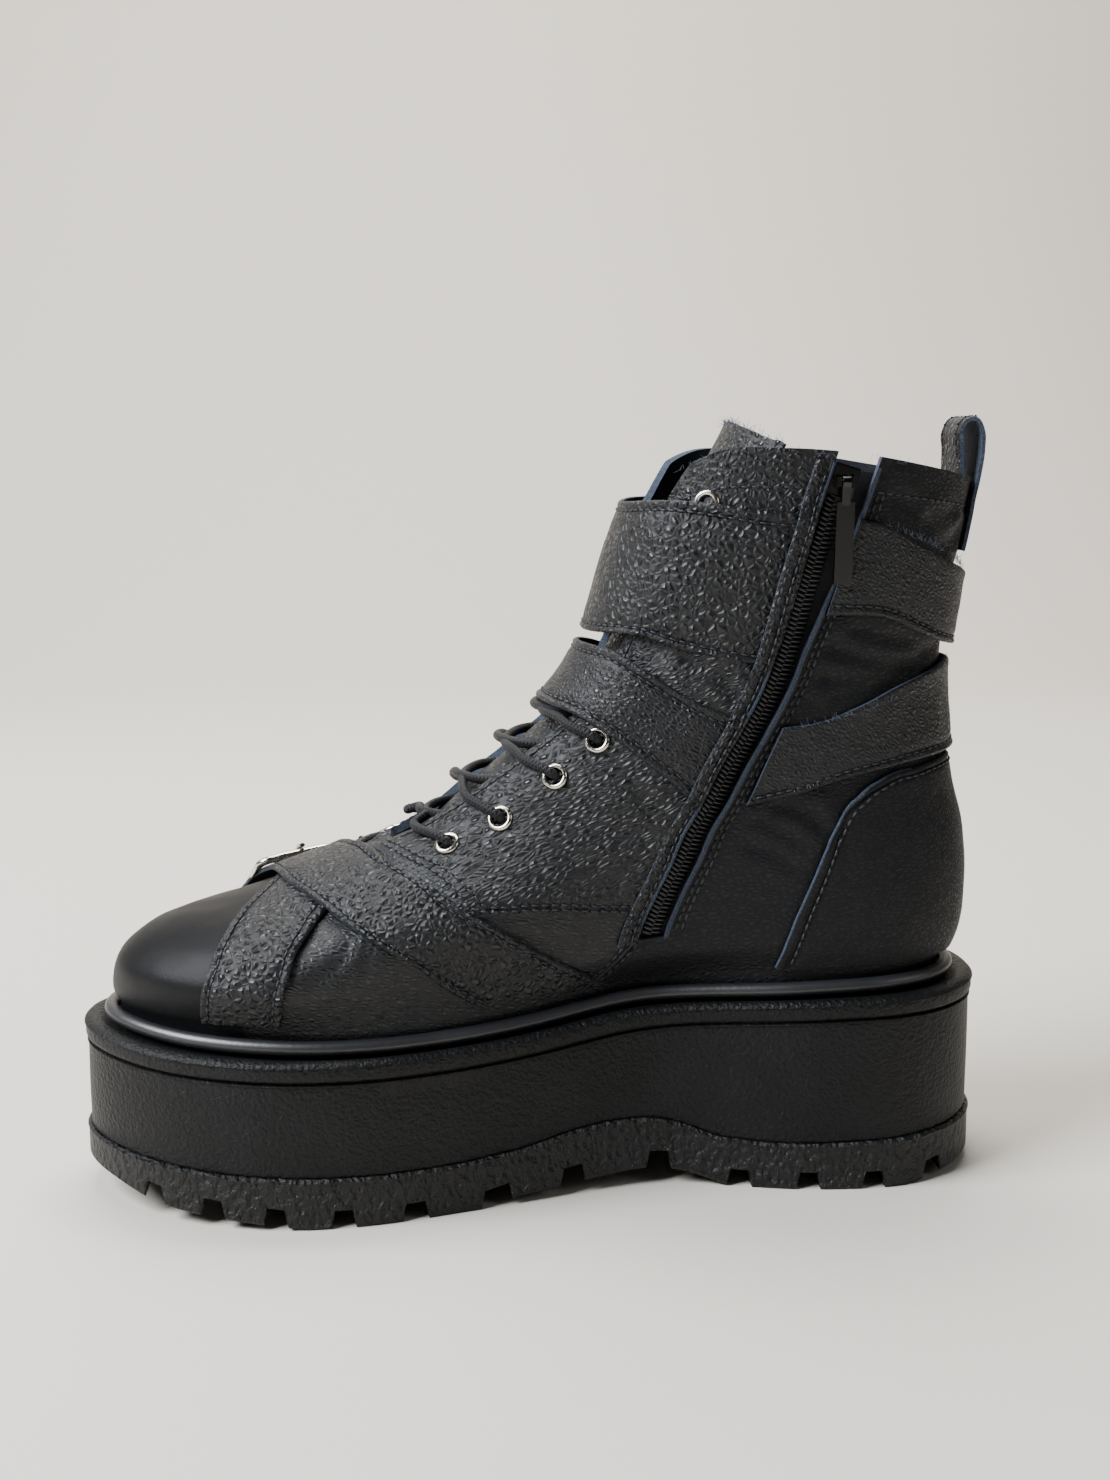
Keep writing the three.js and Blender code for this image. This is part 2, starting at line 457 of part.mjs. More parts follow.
// Joins closed geometries into one solid.
function joined(geometries) {
  const solids = geometries.map((geometry) => {
    const flat = geometry.index ? geometry : geometry.clone();
    const position = flat.getAttribute('position');
    const corner = new Map();
    const vertices = [];
    const merge = [];
    for (let i = 0; i < position.count; i += 1) {
      const p = [position.getX(i), position.getY(i), position.getZ(i)];
      const key = p.map((c) => Math.round(c * 1e4)).join();
      if (!corner.has(key)) {
        corner.set(key, vertices.length / 3);
        vertices.push(...p);
      }
      merge.push(corner.get(key));
    }
    const order = flat.index ? Array.from(flat.index.array) : merge.map((_, i) => i);
    const triangles = [];
    for (let i = 0; i < order.length; i += 3) {
      const face = [merge[order[i]], merge[order[i + 1]], merge[order[i + 2]]];
      if (new Set(face).size === 3) triangles.push(...face);
    }
    return new manifoldModule.Manifold(new manifoldModule.Mesh({
      numProp: 3,
      vertProperties: new Float32Array(vertices),
      triVerts: new Uint32Array(triangles),
    }));
  });
  const mesh = solids.reduce((whole, solid) => whole.add(solid)).getMesh();
  const geometry = new THREE.BufferGeometry();
  geometry.setAttribute('position', new THREE.Float32BufferAttribute(Array.from(mesh.vertProperties), 3));
  geometry.setIndex(Array.from(mesh.triVerts));
  return geometry;
}

// Outsole: one station at each side of every notch, so that its walls stand on stations.
const notchSlope = 0.004;
const notchStations = notchRows.flatMap(({ s, wide }) => {
  const half = wide / 2;
  return [s - half - notchSlope, s - half, s + half, s + half + notchSlope];
});
const plainStations = [0.001, 0.008, 0.022, 0.045, 0.115, 0.18, 0.25, 0.32, 0.4, 0.43, 0.465, 0.485, 0.505,
  0.55, 0.575, 0.6, 0.645, 0.665, 0.685, 0.735, 0.76, 0.825, 0.9, 0.96, 0.982, 0.994, 0.999];
const soleStations = [...plainStations, ...notchStations].sort((p, q) => p - q);
const inNotch = (s) => notchRows.some((notch) => Math.abs(s - notch.s) <= notch.wide / 2 + 1e-6);
const soleAcross = [-1, -lugReach - 0.05, -lugReach + 0.03, lugReach - 0.03, lugReach + 0.05, 1];
const outsoleTop = (s, across) => outline(s, across, outsoleOut, waveZ(s));
const outsoleFoot = (s, across) => {
  const deep = inNotch(s) && Math.abs(across) > lugReach;
  return outline(s, across, outsoleOut, lugZ(s) + (deep ? lugDepth : 0));
};
addSolid('outsole', rubber, ...shellParts(soleStations, soleAcross, outsoleTop, outsoleFoot));

// Midsole: rings of the outline, from the outsole up the wall, over the rim and down to the bed.
const turn = range(0, 2 * Math.PI, 60).slice(0, -1);
const ring = (out, height) => turn.map((angle) => {
  const s = (1 - Math.cos(angle)) / 2;
  return outline(s, angle < Math.PI ? -1 : 1, out, height(s));
});

function stackParts(rings) {
  const count = turn.length;
  const faces = [];
  for (let j = 0; j < rings.length - 1; j += 1) {
    for (let i = 0; i < count; i += 1) {
      const n = (i + 1) % count;
      const [p, q] = [j * count, (j + 1) * count];
      faces.push([p + i, p + n, q + n], [p + i, q + n, q + i]);
    }
  }
  for (const [base, flip] of [[0, true], [(rings.length - 1) * count, false]]) {
    for (let i = 0; i < count / 2; i += 1) {
      const quad = [i, i + 1, count - i - 1, (count - i) % count].map((k) => base + k);
      const halves = [[quad[0], quad[1], quad[2]], [quad[0], quad[2], quad[3]]];
      halves.forEach((face) => faces.push(flip ? face.reverse() : face));
    }
  }
  return [rings.flat(), faces];
}

addSolid('midsole', rubber, ...stackParts([
  ring(-0.4, (s) => waveZ(s) + layerGap),
  ring(0, (s) => waveZ(s) + layerGap + 1),
  ring(0, (s) => grooveZ(s) - 0.7),
  ring(-0.8, grooveZ),
  ring(0, (s) => grooveZ(s) + 0.7),
  ring(rimOut, (s) => grooveZ(s) + 1.3),
  ring(rimOut, (s) => rimZ(s) - 1.2),
  ring(-0.6, rimZ),
  ring(-4.4, (s) => rimZ(s) - 0.4),
  ring(-5.4, (s) => rimZ(s) - 0.95),
]));
addSolid('rand', rubber, ...cordParts(
  ring(-shelfWidth, (s) => rimZ(s) + beadRadius - 0.5),
  beadRadius, 6, new THREE.Vector3(0, 0, 1), true,
));
const sockIn = feather + wall + 1;
addSolid('insole', leather, ...stackParts([
  ring(-sockIn, (s) => rimZ(s) - 0.6),
  ring(-sockIn, (s) => rimZ(s) - 0.6 + insoleThick),
]));

// Upper: grid columns run along the edges of the throat and of the zip's slot.
const zipA = (v) => curve(zipRows, 'v', 'a', v);
const zipSide = (v, mm) => zipA(v) + wayOf(zipA(v), v, mm);
const throatA = (v) => curve(throatRows, 'v', 'a', v);
const upperKnots = [
  { at: () => -1, cells: 8 }, { at: (v) => zipSide(v, -zipSlot / 2), cells: 1 },
  { at: (v) => zipSide(v, zipSlot / 2), cells: 12 }, { at: (v) => -throatA(v), cells: 4 },
  { at: throatA, cells: 21 }, { at: () => 1, cells: 0 },
];
const upperColumns = upperKnots.flatMap(({ cells }, knot) => (
  range(0, 1, Math.max(cells, 1)).slice(0, cells).map((share) => ({ knot, share }))
));
const upperRows = [0, 0.035, 0.065, 0.1, 0.15, 0.2, 0.26, 0.34, 0.42, 0.5, 0.56, 0.63, 0.71, 0.79, 0.87, 0.95, 1];
const columnA = ({ knot, share }, v) => mix(upperKnots[knot].at(v), upperKnots[knot + 1].at(v), share);
const cornerDrop = (a, v) => v * 0.035 * (v > 0.95 ? 1 - smooth((Math.abs(a) - throatA(1)) / 0.07) : 0);
const upperPoint = (up) => (column, v) => {
  const a = columnA(column, v);
  return above(a, v - cornerDrop(a, v), up);
};
addSolid('upper', leather, ...shellParts(upperColumns, upperRows, upperPoint(0), upperPoint(-wall), true, (i, j) => {
  const v = upperRows[j];
  const inThroat = upperColumns[i].knot === 3 && v >= throatFoot;
  const inSlot = upperColumns[i].knot === 1 && v >= zipFoot;
  return !inThroat && !inSlot;
}));

// A patch of the upper's face between two heights above it.
function patch(name, material, columns, rows, place, under, over) {
  const face = (up) => (column, row) => {
    const [a, v] = place(column, row);
    return above(a, v, typeof up === 'function' ? up(column, row) : up);
  };
  return addSolid(name, material, ...shellParts(columns, rows, face(over), face(under)));
}

const tongueHeights = [0.47, 0.53, 0.6, 0.68, 0.76, 0.84, 0.91, 0.96, 1.0, 1.03];
const tongueFace = (up) => (across, v) => {
  const point = above(across * curve(tongueRows, 'v', 'a', v), v, up);
  return point.setX(point.x + Math.max(curve(tongueRows, 'v', 'back', v), 0));
};
const tongueUp = -wall - 2 * gap;
addSolid('tongue', leather, ...shellParts(
  range(-1, 1, 10), tongueHeights, tongueFace(tongueUp), tongueFace(tongueUp - tongueThick),
));

const counterFront = counterRows[0].a;
const counterWay = (i) => mix(-counterFront, counterFront - 2, i);
patch(
  'counter', leather, range(0, 1, 18), range(0, 1, 5),
  (i, j) => {
    const a = counterWay(i);
    return [a, mix(0.068, curve(counterRows, 'a', 'v', Math.min(-a, 2 + a)), j)];
  },
  gap + 0.5, gap + 0.5 + counterThick,
);

// Straps
function strap(name, rows, perRow) {
  const table = rows.map((row, n) => ({ n, ...row }));
  const place = (n, share) => [
    mix(curve(table, 'n', 'lowA', n), curve(table, 'n', 'highA', n), share),
    mix(curve(table, 'n', 'lowV', n), curve(table, 'n', 'highV', n), share),
  ];
  const lift = (n) => Math.max(curve(table, 'n', 'lift', n), 0.5);
  patch(
    name, leather, range(0, rows.length - 1, (rows.length - 1) * perRow), range(0, 1, 3),
    place, lift, (n) => lift(n) + strapThick,
  );
}
strap('strap_toe', strapToeRows, 2);
strap('strap_vamp', strapVampRows, 2);
strap('strap_instep_front', strapInstepFrontRows, 2);
strap('strap_instep_back', strapInstepBackRows, 2);
strap('strap_cuff', strapCuffRows, 2);
strap('strap_cuff_tab', strapTabRows, 2);
strap('strap_ankle_back', strapAnkleBackRows, 2);

// Zip: the tape behind the slot, the closed coil in it, and the slider at the top.
const zipHeights = range(zipFoot - 0.025, 0.985, 20);
const zipPatch = (name, width, under, over, heights) => patch(
  name, black, [-width / 2, 0, width / 2], heights, (mm, v) => [zipSide(v, mm), v], under, over,
);
const tapeUp = -wall - gap - 0.3;
zipPatch('zip_tape', zipTapeWidth, tapeUp - zipTapeThick, tapeUp, zipHeights);
zipPatch('zip_coil', coilWidth, tapeUp + 0.3, tapeUp + 0.3 + coilThick, range(zipFoot + 0.012, 0.955, 20));

// The slider's own directions: down the zip, out of the upper, and across.
const sliderV = 0.975;
const sliderOut = normal(zipA(sliderV), sliderV);
const sliderDown = surface(zipA(sliderV - 0.03), sliderV - 0.03).sub(surface(zipA(sliderV), sliderV));
sliderDown.addScaledVector(sliderOut, -sliderDown.dot(sliderOut)).normalize();
const sliderAcross = sliderDown.clone().cross(sliderOut);
const sliderBase = above(zipA(sliderV), sliderV, gap);
const sliderFrame = new THREE.Matrix4().makeBasis(sliderDown, sliderOut, sliderAcross).setPosition(sliderBase);
// The pull hangs straight down, so its pin is turned a little from the slider.
const pullDown = new THREE.Vector3(0, 0, -1);
pullDown.addScaledVector(sliderOut, -pullDown.dot(sliderOut)).normalize();
const pullAcross = pullDown.clone().cross(sliderOut);
const pullFrame = new THREE.Matrix4().makeBasis(pullDown, sliderOut, pullAcross).setPosition(sliderBase);

// A side view in these directions, drawn as x down and y outwards, centred across.
function sideCut(shape, width) {
  const geometry = new THREE.ExtrudeGeometry(shape, { depth: width, bevelEnabled: false, curveSegments: 6 });
  geometry.translate(0, 0, -width / 2);
  return geometry;
}
const polygon = (corners) => new THREE.Shape(corners.map(([x, y]) => new THREE.Vector2(x, y)));
const pinOut = 3.6;
const pinRadius = 0.7;
const pullBore = 1.05;
const pullEye = 2.6;
const cheek = 1.2;
const cheekGap = 0.35;
const sliderBody = sideCut(polygon([[-5, 0.6], [-4.2, 0], [4.2, 0], [5, 0.6], [4.4, 1.5], [-4.4, 1.5]]), 8);
const cheekShape = polygon([[-2.2, 1.2], [2.2, 1.2], [1.4, pinOut + 1.2], [-1.4, pinOut + 1.2]]);
const cheeks = [-1, 1].map((side) => (
  sideCut(cheekShape, cheek).translate(0, 0, side * (pullEye / 2 + cheekGap + cheek / 2))
));
const pin = new THREE.CylinderGeometry(pinRadius, pinRadius, pullEye + 2 * cheekGap + cheek, 10)
  .rotateX(Math.PI / 2).translate(0, pinOut, 0);
const turned = [...cheeks, pin].map((geometry) => geometry.applyMatrix4(pullFrame));
addMesh('zip_slider', black, joined([sliderBody.applyMatrix4(sliderFrame), ...turned]));

// The pull hangs from the pin. Its eye is narrow, its tab wide.
const eyeShape = new THREE.Shape();
eyeShape.absarc(0, pinOut, pullBore + 0.8, Math.PI / 4, -Math.PI / 4 - 0.2, false);
eyeShape.lineTo(7, pinOut - pullThick / 2);
eyeShape.lineTo(7, pinOut + pullThick / 2);
eyeShape.closePath();
eyeShape.holes.push(new THREE.Path().absarc(0, pinOut, pullBore, 0, 2 * Math.PI, true));
const tabSide = polygon([
  [6, pinOut - pullThick / 2], [pullLong, pinOut - pullThick / 2 - 0.6],
  [pullLong, pinOut + pullThick / 2 - 0.6], [6, pinOut + pullThick / 2],
]);
addMesh('zip_pull', black, joined([sideCut(eyeShape, pullEye), sideCut(tabSide, pullWide)])
  .applyMatrix4(pullFrame));

// Pull loop at the back: a strip that stands up behind the collar and turns back down inside it.
const loopMid = surface(1, 0.95).y;
const collarBack = surface(1, 1);
const outerLeg = (v) => [surface(1, v).x + gap + loopThick, surface(1, v).z];
const loopEdge = 1 - wayOf(0.97, 0.95, loopWide / 2);
const innerLeg = (v) => [surface(loopEdge, v).x - wall - 2 * gap - loopThick, surface(1, v).z];
const loopBend = [[3.2, 0.45], [3.0, 0.75], [0.2, 0.98], [-3.6, 0.96], [-5.9, 0.75], [-5.6, 0.45]];
const loopPath = [
  outerLeg(0.915), outerLeg(0.96), outerLeg(1),
  ...loopBend.map(([x, share]) => [collarBack.x + x, collarBack.z + share * loopHigh]),
  innerLeg(1), innerLeg(0.94),
];
const loopSide = loopPath.map(([x, z], i) => {
  const [beforeX, beforeZ] = loopPath[Math.max(i - 1, 0)];
  const [nextX, nextZ] = loopPath[Math.min(i + 1, loopPath.length - 1)];
  const along = new THREE.Vector2(nextX - beforeX, nextZ - beforeZ).normalize();
  return new THREE.Vector2(x - along.y * loopThick, z + along.x * loopThick);
});
const loopShape = new THREE.Shape([...loopPath.map(([x, z]) => new THREE.Vector2(x, z)), ...loopSide.reverse()]);
const loop = new THREE.ExtrudeGeometry(loopShape, { depth: loopWide, bevelEnabled: false });
addMesh('pull_loop', leather, joined([
  loop.rotateX(Math.PI / 2).translate(0, loopMid + loopWide / 2, 0),
]));

// Eyelets and the lace between them
const eyeletPlaces = eyeletRows.flatMap(({ a, v }, n) => [
  { name: `eyelet_inner_${n + 1}`, a, v }, { name: `eyelet_outer_${n + 1}`, a: -a, v },
]);
for (const { name, a, v } of eyeletPlaces) {
  const profile = [
    [eyeletHole, 0], [eyeletRadius, 0], [(eyeletRadius + eyeletHole) / 2, eyeletHeight],
    [eyeletHole, eyeletHeight * 0.6], [eyeletHole, 0],
  ].map(([x, y]) => new THREE.Vector2(x, y));
  const geometry = new THREE.LatheGeometry(profile, 10);
  const outward = normal(a, v);
  const across = new THREE.Vector3(0, 0, 1).cross(outward).normalize();
  const place = new THREE.Matrix4().makeBasis(across, outward, across.clone().cross(outward));
  place.setPosition(above(a, v, gap + 0.35));
  addMesh(name, metal, joined([geometry.applyMatrix4(place)]));
}

// Each crossing is two cords, from an eyelet over its own quarter and down beside the other one.
function laceArm({ a, v }, side) {
  const stations = [
    { a: Math.abs(a) - 0.01, v, up: eyeletHeight + gap + laceRadius + 0.6 },
    { a: Math.abs(a) - 0.06, v: v + 0.012, up: 3.4 },
    { a: throatA(v + 0.03), v: v + 0.03, up: 2.6 },
    { a: 0.04, v: v + 0.048, up: 1.2 },
    { a: -0.02, v: v + 0.056, up: 0.6 },
    { a: -throatA(v + 0.06) + 0.045, v: v + 0.062, up: 0.2 },
  ];
  const path = stations.map((station) => above(side * station.a, station.v, station.up));
  const [points, faces] = cordParts(path, laceRadius, 6, normal(0, v + 0.04));
  const geometry = new THREE.BufferGeometry().setFromPoints(points);
  geometry.setIndex(faces.flat());
  return geometry;
}
eyeletRows.slice(0, 4).forEach((row, n) => {
  addMesh(`lace_crossing_${n + 1}`, black, joined([laceArm(row, -1), laceArm(row, 1)]));
});

// Buckles: a wire frame round two cross bars, and the tip of the prong over the front bar.
for (const { name, heelA, heelV, heelUp, frontA, frontV, frontUp } of buckleRows) {
  const heelBar = above(heelA, heelV, heelUp);
  const frontBar = above(frontA, frontV, frontUp);
  const along = frontBar.clone().sub(heelBar);
  const long = along.length();
  along.normalize();
  const outward = normal((heelA + frontA) / 2, (heelV + frontV) / 2);
  const across = outward.clone().cross(along).normalize();
  const out = along.clone().cross(across);
  const side = buckleWide / 2 - buckleCorner;
  const corners = [[long - buckleCorner, side], [buckleCorner, side], [buckleCorner, -side],
    [long - buckleCorner, -side]];
  const path = corners.flatMap(([x, y], quarter) => [0, 0.5, 1].map((share) => {
    const angle = (quarter + share) * (Math.PI / 2);
    return heelBar.clone().addScaledVector(along, x + buckleCorner * Math.cos(angle))
      .addScaledVector(across, y + buckleCorner * Math.sin(angle));
  }));
  addSolid(`buckle_${name}`, metal, ...cordParts(path, buckleWire, 6, out, true));
  const prong = [long - 7, long - 3.5, long, long + 2.6].map((x, i) => frontBar.clone()
    .addScaledVector(along, x - long).addScaledVector(out, [1.2, 2.6, 2.8, 2.6][i]));
  addSolid(`prong_${name}`, metal, ...cordParts(prong, 0.95, 6, out));
}

export default boot;
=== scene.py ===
# %% [markdown]
# # A laced platform boot, dressed in Blender
# The CAD part gives the boot's true form, in metres, with the toe to -X, the inner side with the zip to
# -Y and the floor at zero. This lesson lays finer skins of leather, rubber, thread and metal over that
# form. Each cell makes one piece or one finish, and prints what it made.

# %% Load the frame
import math

import bpy
import numpy as np
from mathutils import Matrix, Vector, noise


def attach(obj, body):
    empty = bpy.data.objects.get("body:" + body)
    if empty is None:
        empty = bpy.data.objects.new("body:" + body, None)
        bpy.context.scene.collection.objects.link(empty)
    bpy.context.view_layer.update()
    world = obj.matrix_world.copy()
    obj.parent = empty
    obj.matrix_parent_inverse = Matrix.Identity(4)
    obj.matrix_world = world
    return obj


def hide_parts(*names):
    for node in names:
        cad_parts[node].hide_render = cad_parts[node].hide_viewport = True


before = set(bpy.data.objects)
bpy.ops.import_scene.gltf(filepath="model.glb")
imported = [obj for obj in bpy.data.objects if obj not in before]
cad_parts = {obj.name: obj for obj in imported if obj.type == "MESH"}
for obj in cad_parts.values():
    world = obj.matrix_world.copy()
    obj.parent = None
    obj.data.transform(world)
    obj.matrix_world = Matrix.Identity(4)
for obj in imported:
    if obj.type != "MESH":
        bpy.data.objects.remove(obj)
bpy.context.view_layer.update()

MM = 0.001

# %% [markdown]
# ## Camera, floor and light
# A photograph can be matched when its camera is known. This one was fitted to the sole's lines: it stands
# about 0.6 m away, a little above the collar, and looks almost squarely at the inner side. The floor and
# the wall are one pale sweep, as in a photographer's studio, so that no line crosses behind the boot. The
# light is soft: a large window-like panel from the left, a weaker one from the right, a wide one
# overhead, and one more that lights the wall behind.

# %% Camera
CAMERA_PLACE = Vector((-44.2, -575.2, 232.8)) * MM
CAMERA_TARGET = Vector((6.44, 3.5, 140.18)) * MM
camera_data = bpy.data.cameras.new("camera")
camera_data.sensor_width = 36
camera_data.lens = 43.78
camera_data.clip_start = 0.01
camera = bpy.data.objects.new("camera", camera_data)
camera.location = CAMERA_PLACE
camera.rotation_mode = "QUATERNION"
camera.rotation_quaternion = (CAMERA_TARGET - CAMERA_PLACE).to_track_quat("-Z", "Y")
bpy.context.scene.collection.objects.link(camera)
bpy.context.scene.camera = camera


# %% Lights
def panel_light(name, place, width, power, colour, aim=(0, 0, 0.12)):
    """A square soft light that faces the boot, or another point."""
    data = bpy.data.lights.new(name, "AREA")
    data.size = width
    data.energy = power
    data.color = colour
    light = bpy.data.objects.new(name, data)
    light.location = place
    light.rotation_mode = "QUATERNION"
    light.rotation_quaternion = (Vector(aim) - Vector(place)).to_track_quat("-Z", "Y")
    bpy.context.scene.collection.objects.link(light)


panel_light("window", (-1.2, -0.45, 1.25), 0.9, 74, (0.93, 0.96, 1.0))
panel_light("overhead", (0.0, 0.6, 1.7), 1.0, 26, (0.97, 0.98, 1.0))
panel_light("wall_wash", (0.0, 0.5, 1.9), 1.2, 52, (1.0, 0.97, 0.92), aim=(0, 2.4, 0.7))
panel_light("right_fill", (1.3, -0.6, 0.8), 0.6, 2.5, (0.95, 0.97, 1.0))
world = bpy.data.worlds.new("studio")
world.use_nodes = True
world.node_tree.nodes["Background"].inputs["Color"].default_value = (0.78, 0.76, 0.73, 1)
world.node_tree.nodes["Background"].inputs["Strength"].default_value = 0.07
bpy.context.scene.world = world


# %% [markdown]
# ## Finishes
# A finish is a small network of nodes. Colours are typed as the hex values that a screen shows and turned
# into the linear light that the renderer counts in. Every pattern reads Object coordinates, which are
# metres here, so a pebble of 1.7 mm in the leather is 1.7 mm on the boot.


# %% Node helper and colours
def linear(hex_colour):
    """Turns an sRGB hex colour into linear red, green, blue and alpha."""
    parts = [int(hex_colour[i : i + 2], 16) / 255 for i in (1, 3, 5)]
    return [c / 12.92 if c <= 0.04045 else ((c + 0.055) / 1.055) ** 2.4 for c in parts] + [1]


def add_node(tree, kind, settings=None, inputs=None):
    """Adds a node, sets its properties, and sets or links its inputs by name or number."""
    node = tree.nodes.new(kind)
    for key, value in (settings or {}).items():
        setattr(node, key, value)
    for key, value in (inputs or {}).items():
        if isinstance(value, bpy.types.NodeSocket):
            tree.links.new(value, node.inputs[key])
        else:
            node.inputs[key].default_value = value
    return node


def new_finish(name, **constants):
    """A material with its shader's constant inputs set; returns the material, its tree and its shader."""
    material = bpy.data.materials.new(name)
    material.use_nodes = True
    shader = material.node_tree.nodes["Principled BSDF"]
    for key, value in constants.items():
        shader.inputs[key.replace("_", " ")].default_value = value
    return material, material.node_tree, shader


def scaled_place(tree, stretch=(1, 1, 1), turn=0.0):
    """Object coordinates, turned about Y by degrees and drawn out by a factor along each axis."""
    place = add_node(tree, "ShaderNodeTexCoord")
    return add_node(
        tree, "ShaderNodeMapping", {"vector_type": "TEXTURE"},
        {"Vector": place.outputs["Object"], "Rotation": (0, math.radians(turn), 0), "Scale": stretch},
    ).outputs[0]


def ramp(tree, value, low, high, to_low, to_high):
    """Maps a value from one range to another, with soft ends."""
    return add_node(
        tree,
        "ShaderNodeMapRange",
        {"interpolation_type": "SMOOTHSTEP"},
        {"Value": value, "From Min": low, "From Max": high, "To Min": to_low, "To Max": to_high},
    ).outputs[0]


def mixed_colour(tree, share, first, second):
    """Blends two colours by a share."""
    return add_node(
        tree, "ShaderNodeMix", {"data_type": "RGBA"}, {0: share, 6: first, 7: second}
    ).outputs[2]


def bumped(tree, shader, height, depth, strength=1.0):
    """Turns a height pattern of one unit into a bump of that depth in metres."""
    bump = add_node(
        tree, "ShaderNodeBump", None, {"Strength": strength, "Distance": depth, "Height": height}
    )
    tree.links.new(bump.outputs[0], shader.inputs["Normal"])


# %% [markdown]
# ### Pebbled leather
# The upper is cow leather, drum dyed in blue-black and then tumbled, which shrinks its face into rounded
# pebbles of 1 to 2 mm with narrow valleys. A Voronoi texture's distance to the edge of its cell gives
# just that: high in the middle and low along the border. A noise bends the cells, so that no two look
# alike. The tops are rubbed to a satin gloss and the valleys stay dull; the valleys are also painted
# darker, as painted shade. Image scans could do it too, but would not scale or turn.


# %% Pebbled leather
# The valley colour is darker than the top colour: painted shade for the valleys between the pebbles.
PEBBLE_TOP, PEBBLE_VALLEY_SHADE, WORN_PATCH = "#0e1014", "#050608", "#0b0d12"


def bent_place(tree, place, cell_mm, scale, reach):
    """The place pushed about by a noise, so that no two cells of the pattern on it look alike."""
    push = add_node(
        tree, "ShaderNodeTexNoise", None, {"Vector": place, "Scale": scale / (cell_mm * MM), "Detail": 2.0})
    return add_node(
        tree, "ShaderNodeVectorMath", {"operation": "MULTIPLY_ADD"},
        {0: push.outputs["Color"], 1: [cell_mm * MM * reach] * 3, 2: place}).outputs[0]


def pebbled_leather(name, pebble_mm, depth_mm, stretch=(1, 1, 1), turn=0.0, gloss=0.32, shine=0.42):
    """Tumbled hide: domed pebbles with narrow valleys painted darker as painted shade, pores on them and a
    broad swell below.
    """
    material, tree, shader = new_finish(name, IOR=1.5, Specular_IOR_Level=shine)
    place = scaled_place(tree, stretch, turn)
    cells = add_node(
        tree, "ShaderNodeTexVoronoi", {"feature": "DISTANCE_TO_EDGE"},
        {"Vector": bent_place(tree, place, pebble_mm, 0.45, 1.1), "Scale": 1 / (pebble_mm * MM)})
    dome = ramp(tree, cells.outputs["Distance"], 0.0, 0.42, 0.0, 1.0)
    valley_shade_mask = ramp(tree, cells.outputs["Distance"], 0.0, 0.14, 0.0, 1.0)
    pores = add_node(tree, "ShaderNodeTexNoise", None, {"Vector": place, "Scale": 3200, "Detail": 2.0})
    patches = add_node(tree, "ShaderNodeTexNoise", None, {"Vector": place, "Scale": 38, "Detail": 3.0})
    swell = add_node(tree, "ShaderNodeTexNoise", None, {"Vector": place, "Scale": 170, "Detail": 2.0})
    swollen = add_node(
        tree, "ShaderNodeMath", {"operation": "MULTIPLY_ADD"}, {0: swell.outputs[0], 1: 1.2, 2: dome})
    height = add_node(
        tree, "ShaderNodeMath", {"operation": "MULTIPLY_ADD"},
        {0: pores.outputs[0], 1: 0.06, 2: swollen.outputs[0]})
    bumped(tree, shader, height.outputs[0], depth_mm * MM)
    # The colour darkens towards each cell's edge, in the valleys between pebbles: painted shade.
    grain_with_valley_shade = mixed_colour(tree, valley_shade_mask, linear(PEBBLE_VALLEY_SHADE), linear(PEBBLE_TOP))
    patch_share = ramp(tree, patches.outputs[0], 0.35, 0.7, 0.0, 0.35)
    worn = mixed_colour(tree, patch_share, grain_with_valley_shade, linear(WORN_PATCH))
    tree.links.new(worn, shader.inputs["Base Color"])
    tree.links.new(ramp(tree, dome, 0.0, 1.0, gloss + 0.25, gloss), shader.inputs["Roughness"])
    return material


LEATHER = pebbled_leather("pebbled_cow_leather", 2.0, 0.40)
STRAP_LEATHER = pebbled_leather("strap_leather", 2.4, 0.48)
FINE_LEATHER = pebbled_leather("fine_strap_leather", 1.6, 0.26, (1.3, 1, 0.8), 35)
VAMP_LEATHER = pebbled_leather("stretched_vamp_leather", 1.6, 0.15, (1.7, 1, 0.75), 14, gloss=0.34)
QUARTER_LEATHER = pebbled_leather("creased_quarter_leather", 1.9, 0.42, (1.9, 1, 0.75), -22)
BACK_LEATHER = pebbled_leather(
    "smoother_back_leather", 1.7, 0.13, (1.5, 1, 0.8), -12, gloss=0.40, shine=0.26)


# %% [markdown]
# ### Smooth leather, raw edges and lining
# The toe cap and counter are the same hide, pressed smooth over a stiffener, so only pores and a faint
# ripple are left. Cut edges show the hide's inside, which the dye has turned navy, and it is fibrous and
# dull. The lining is brushed black hide. All three are noises of different size.


# %% Smooth leather, raw edge and lining
def fibrous(name, base, lighter, grain_mm, depth_mm, roughness, **constants):
    """A dull or satin skin whose only pattern is a noise of one size."""
    material, tree, shader = new_finish(name, Roughness=roughness, **constants)
    place = scaled_place(tree)
    coarse = add_node(
        tree, "ShaderNodeTexNoise", None,
        {"Vector": place, "Scale": 1 / (grain_mm * MM), "Detail": 5.0, "Roughness": 0.6})
    broad = add_node(tree, "ShaderNodeTexNoise", None, {"Vector": place, "Scale": 60, "Detail": 3.0})
    total = add_node(
        tree, "ShaderNodeMath", {"operation": "MULTIPLY_ADD"},
        {0: broad.outputs[0], 1: 0.6, 2: coarse.outputs[0]})
    bumped(tree, shader, total.outputs[0], depth_mm * MM)
    share = ramp(tree, coarse.outputs[0], 0.35, 0.7, 0.0, 1.0)
    tree.links.new(mixed_colour(tree, share, linear(base), linear(lighter)), shader.inputs["Base Color"])
    return material


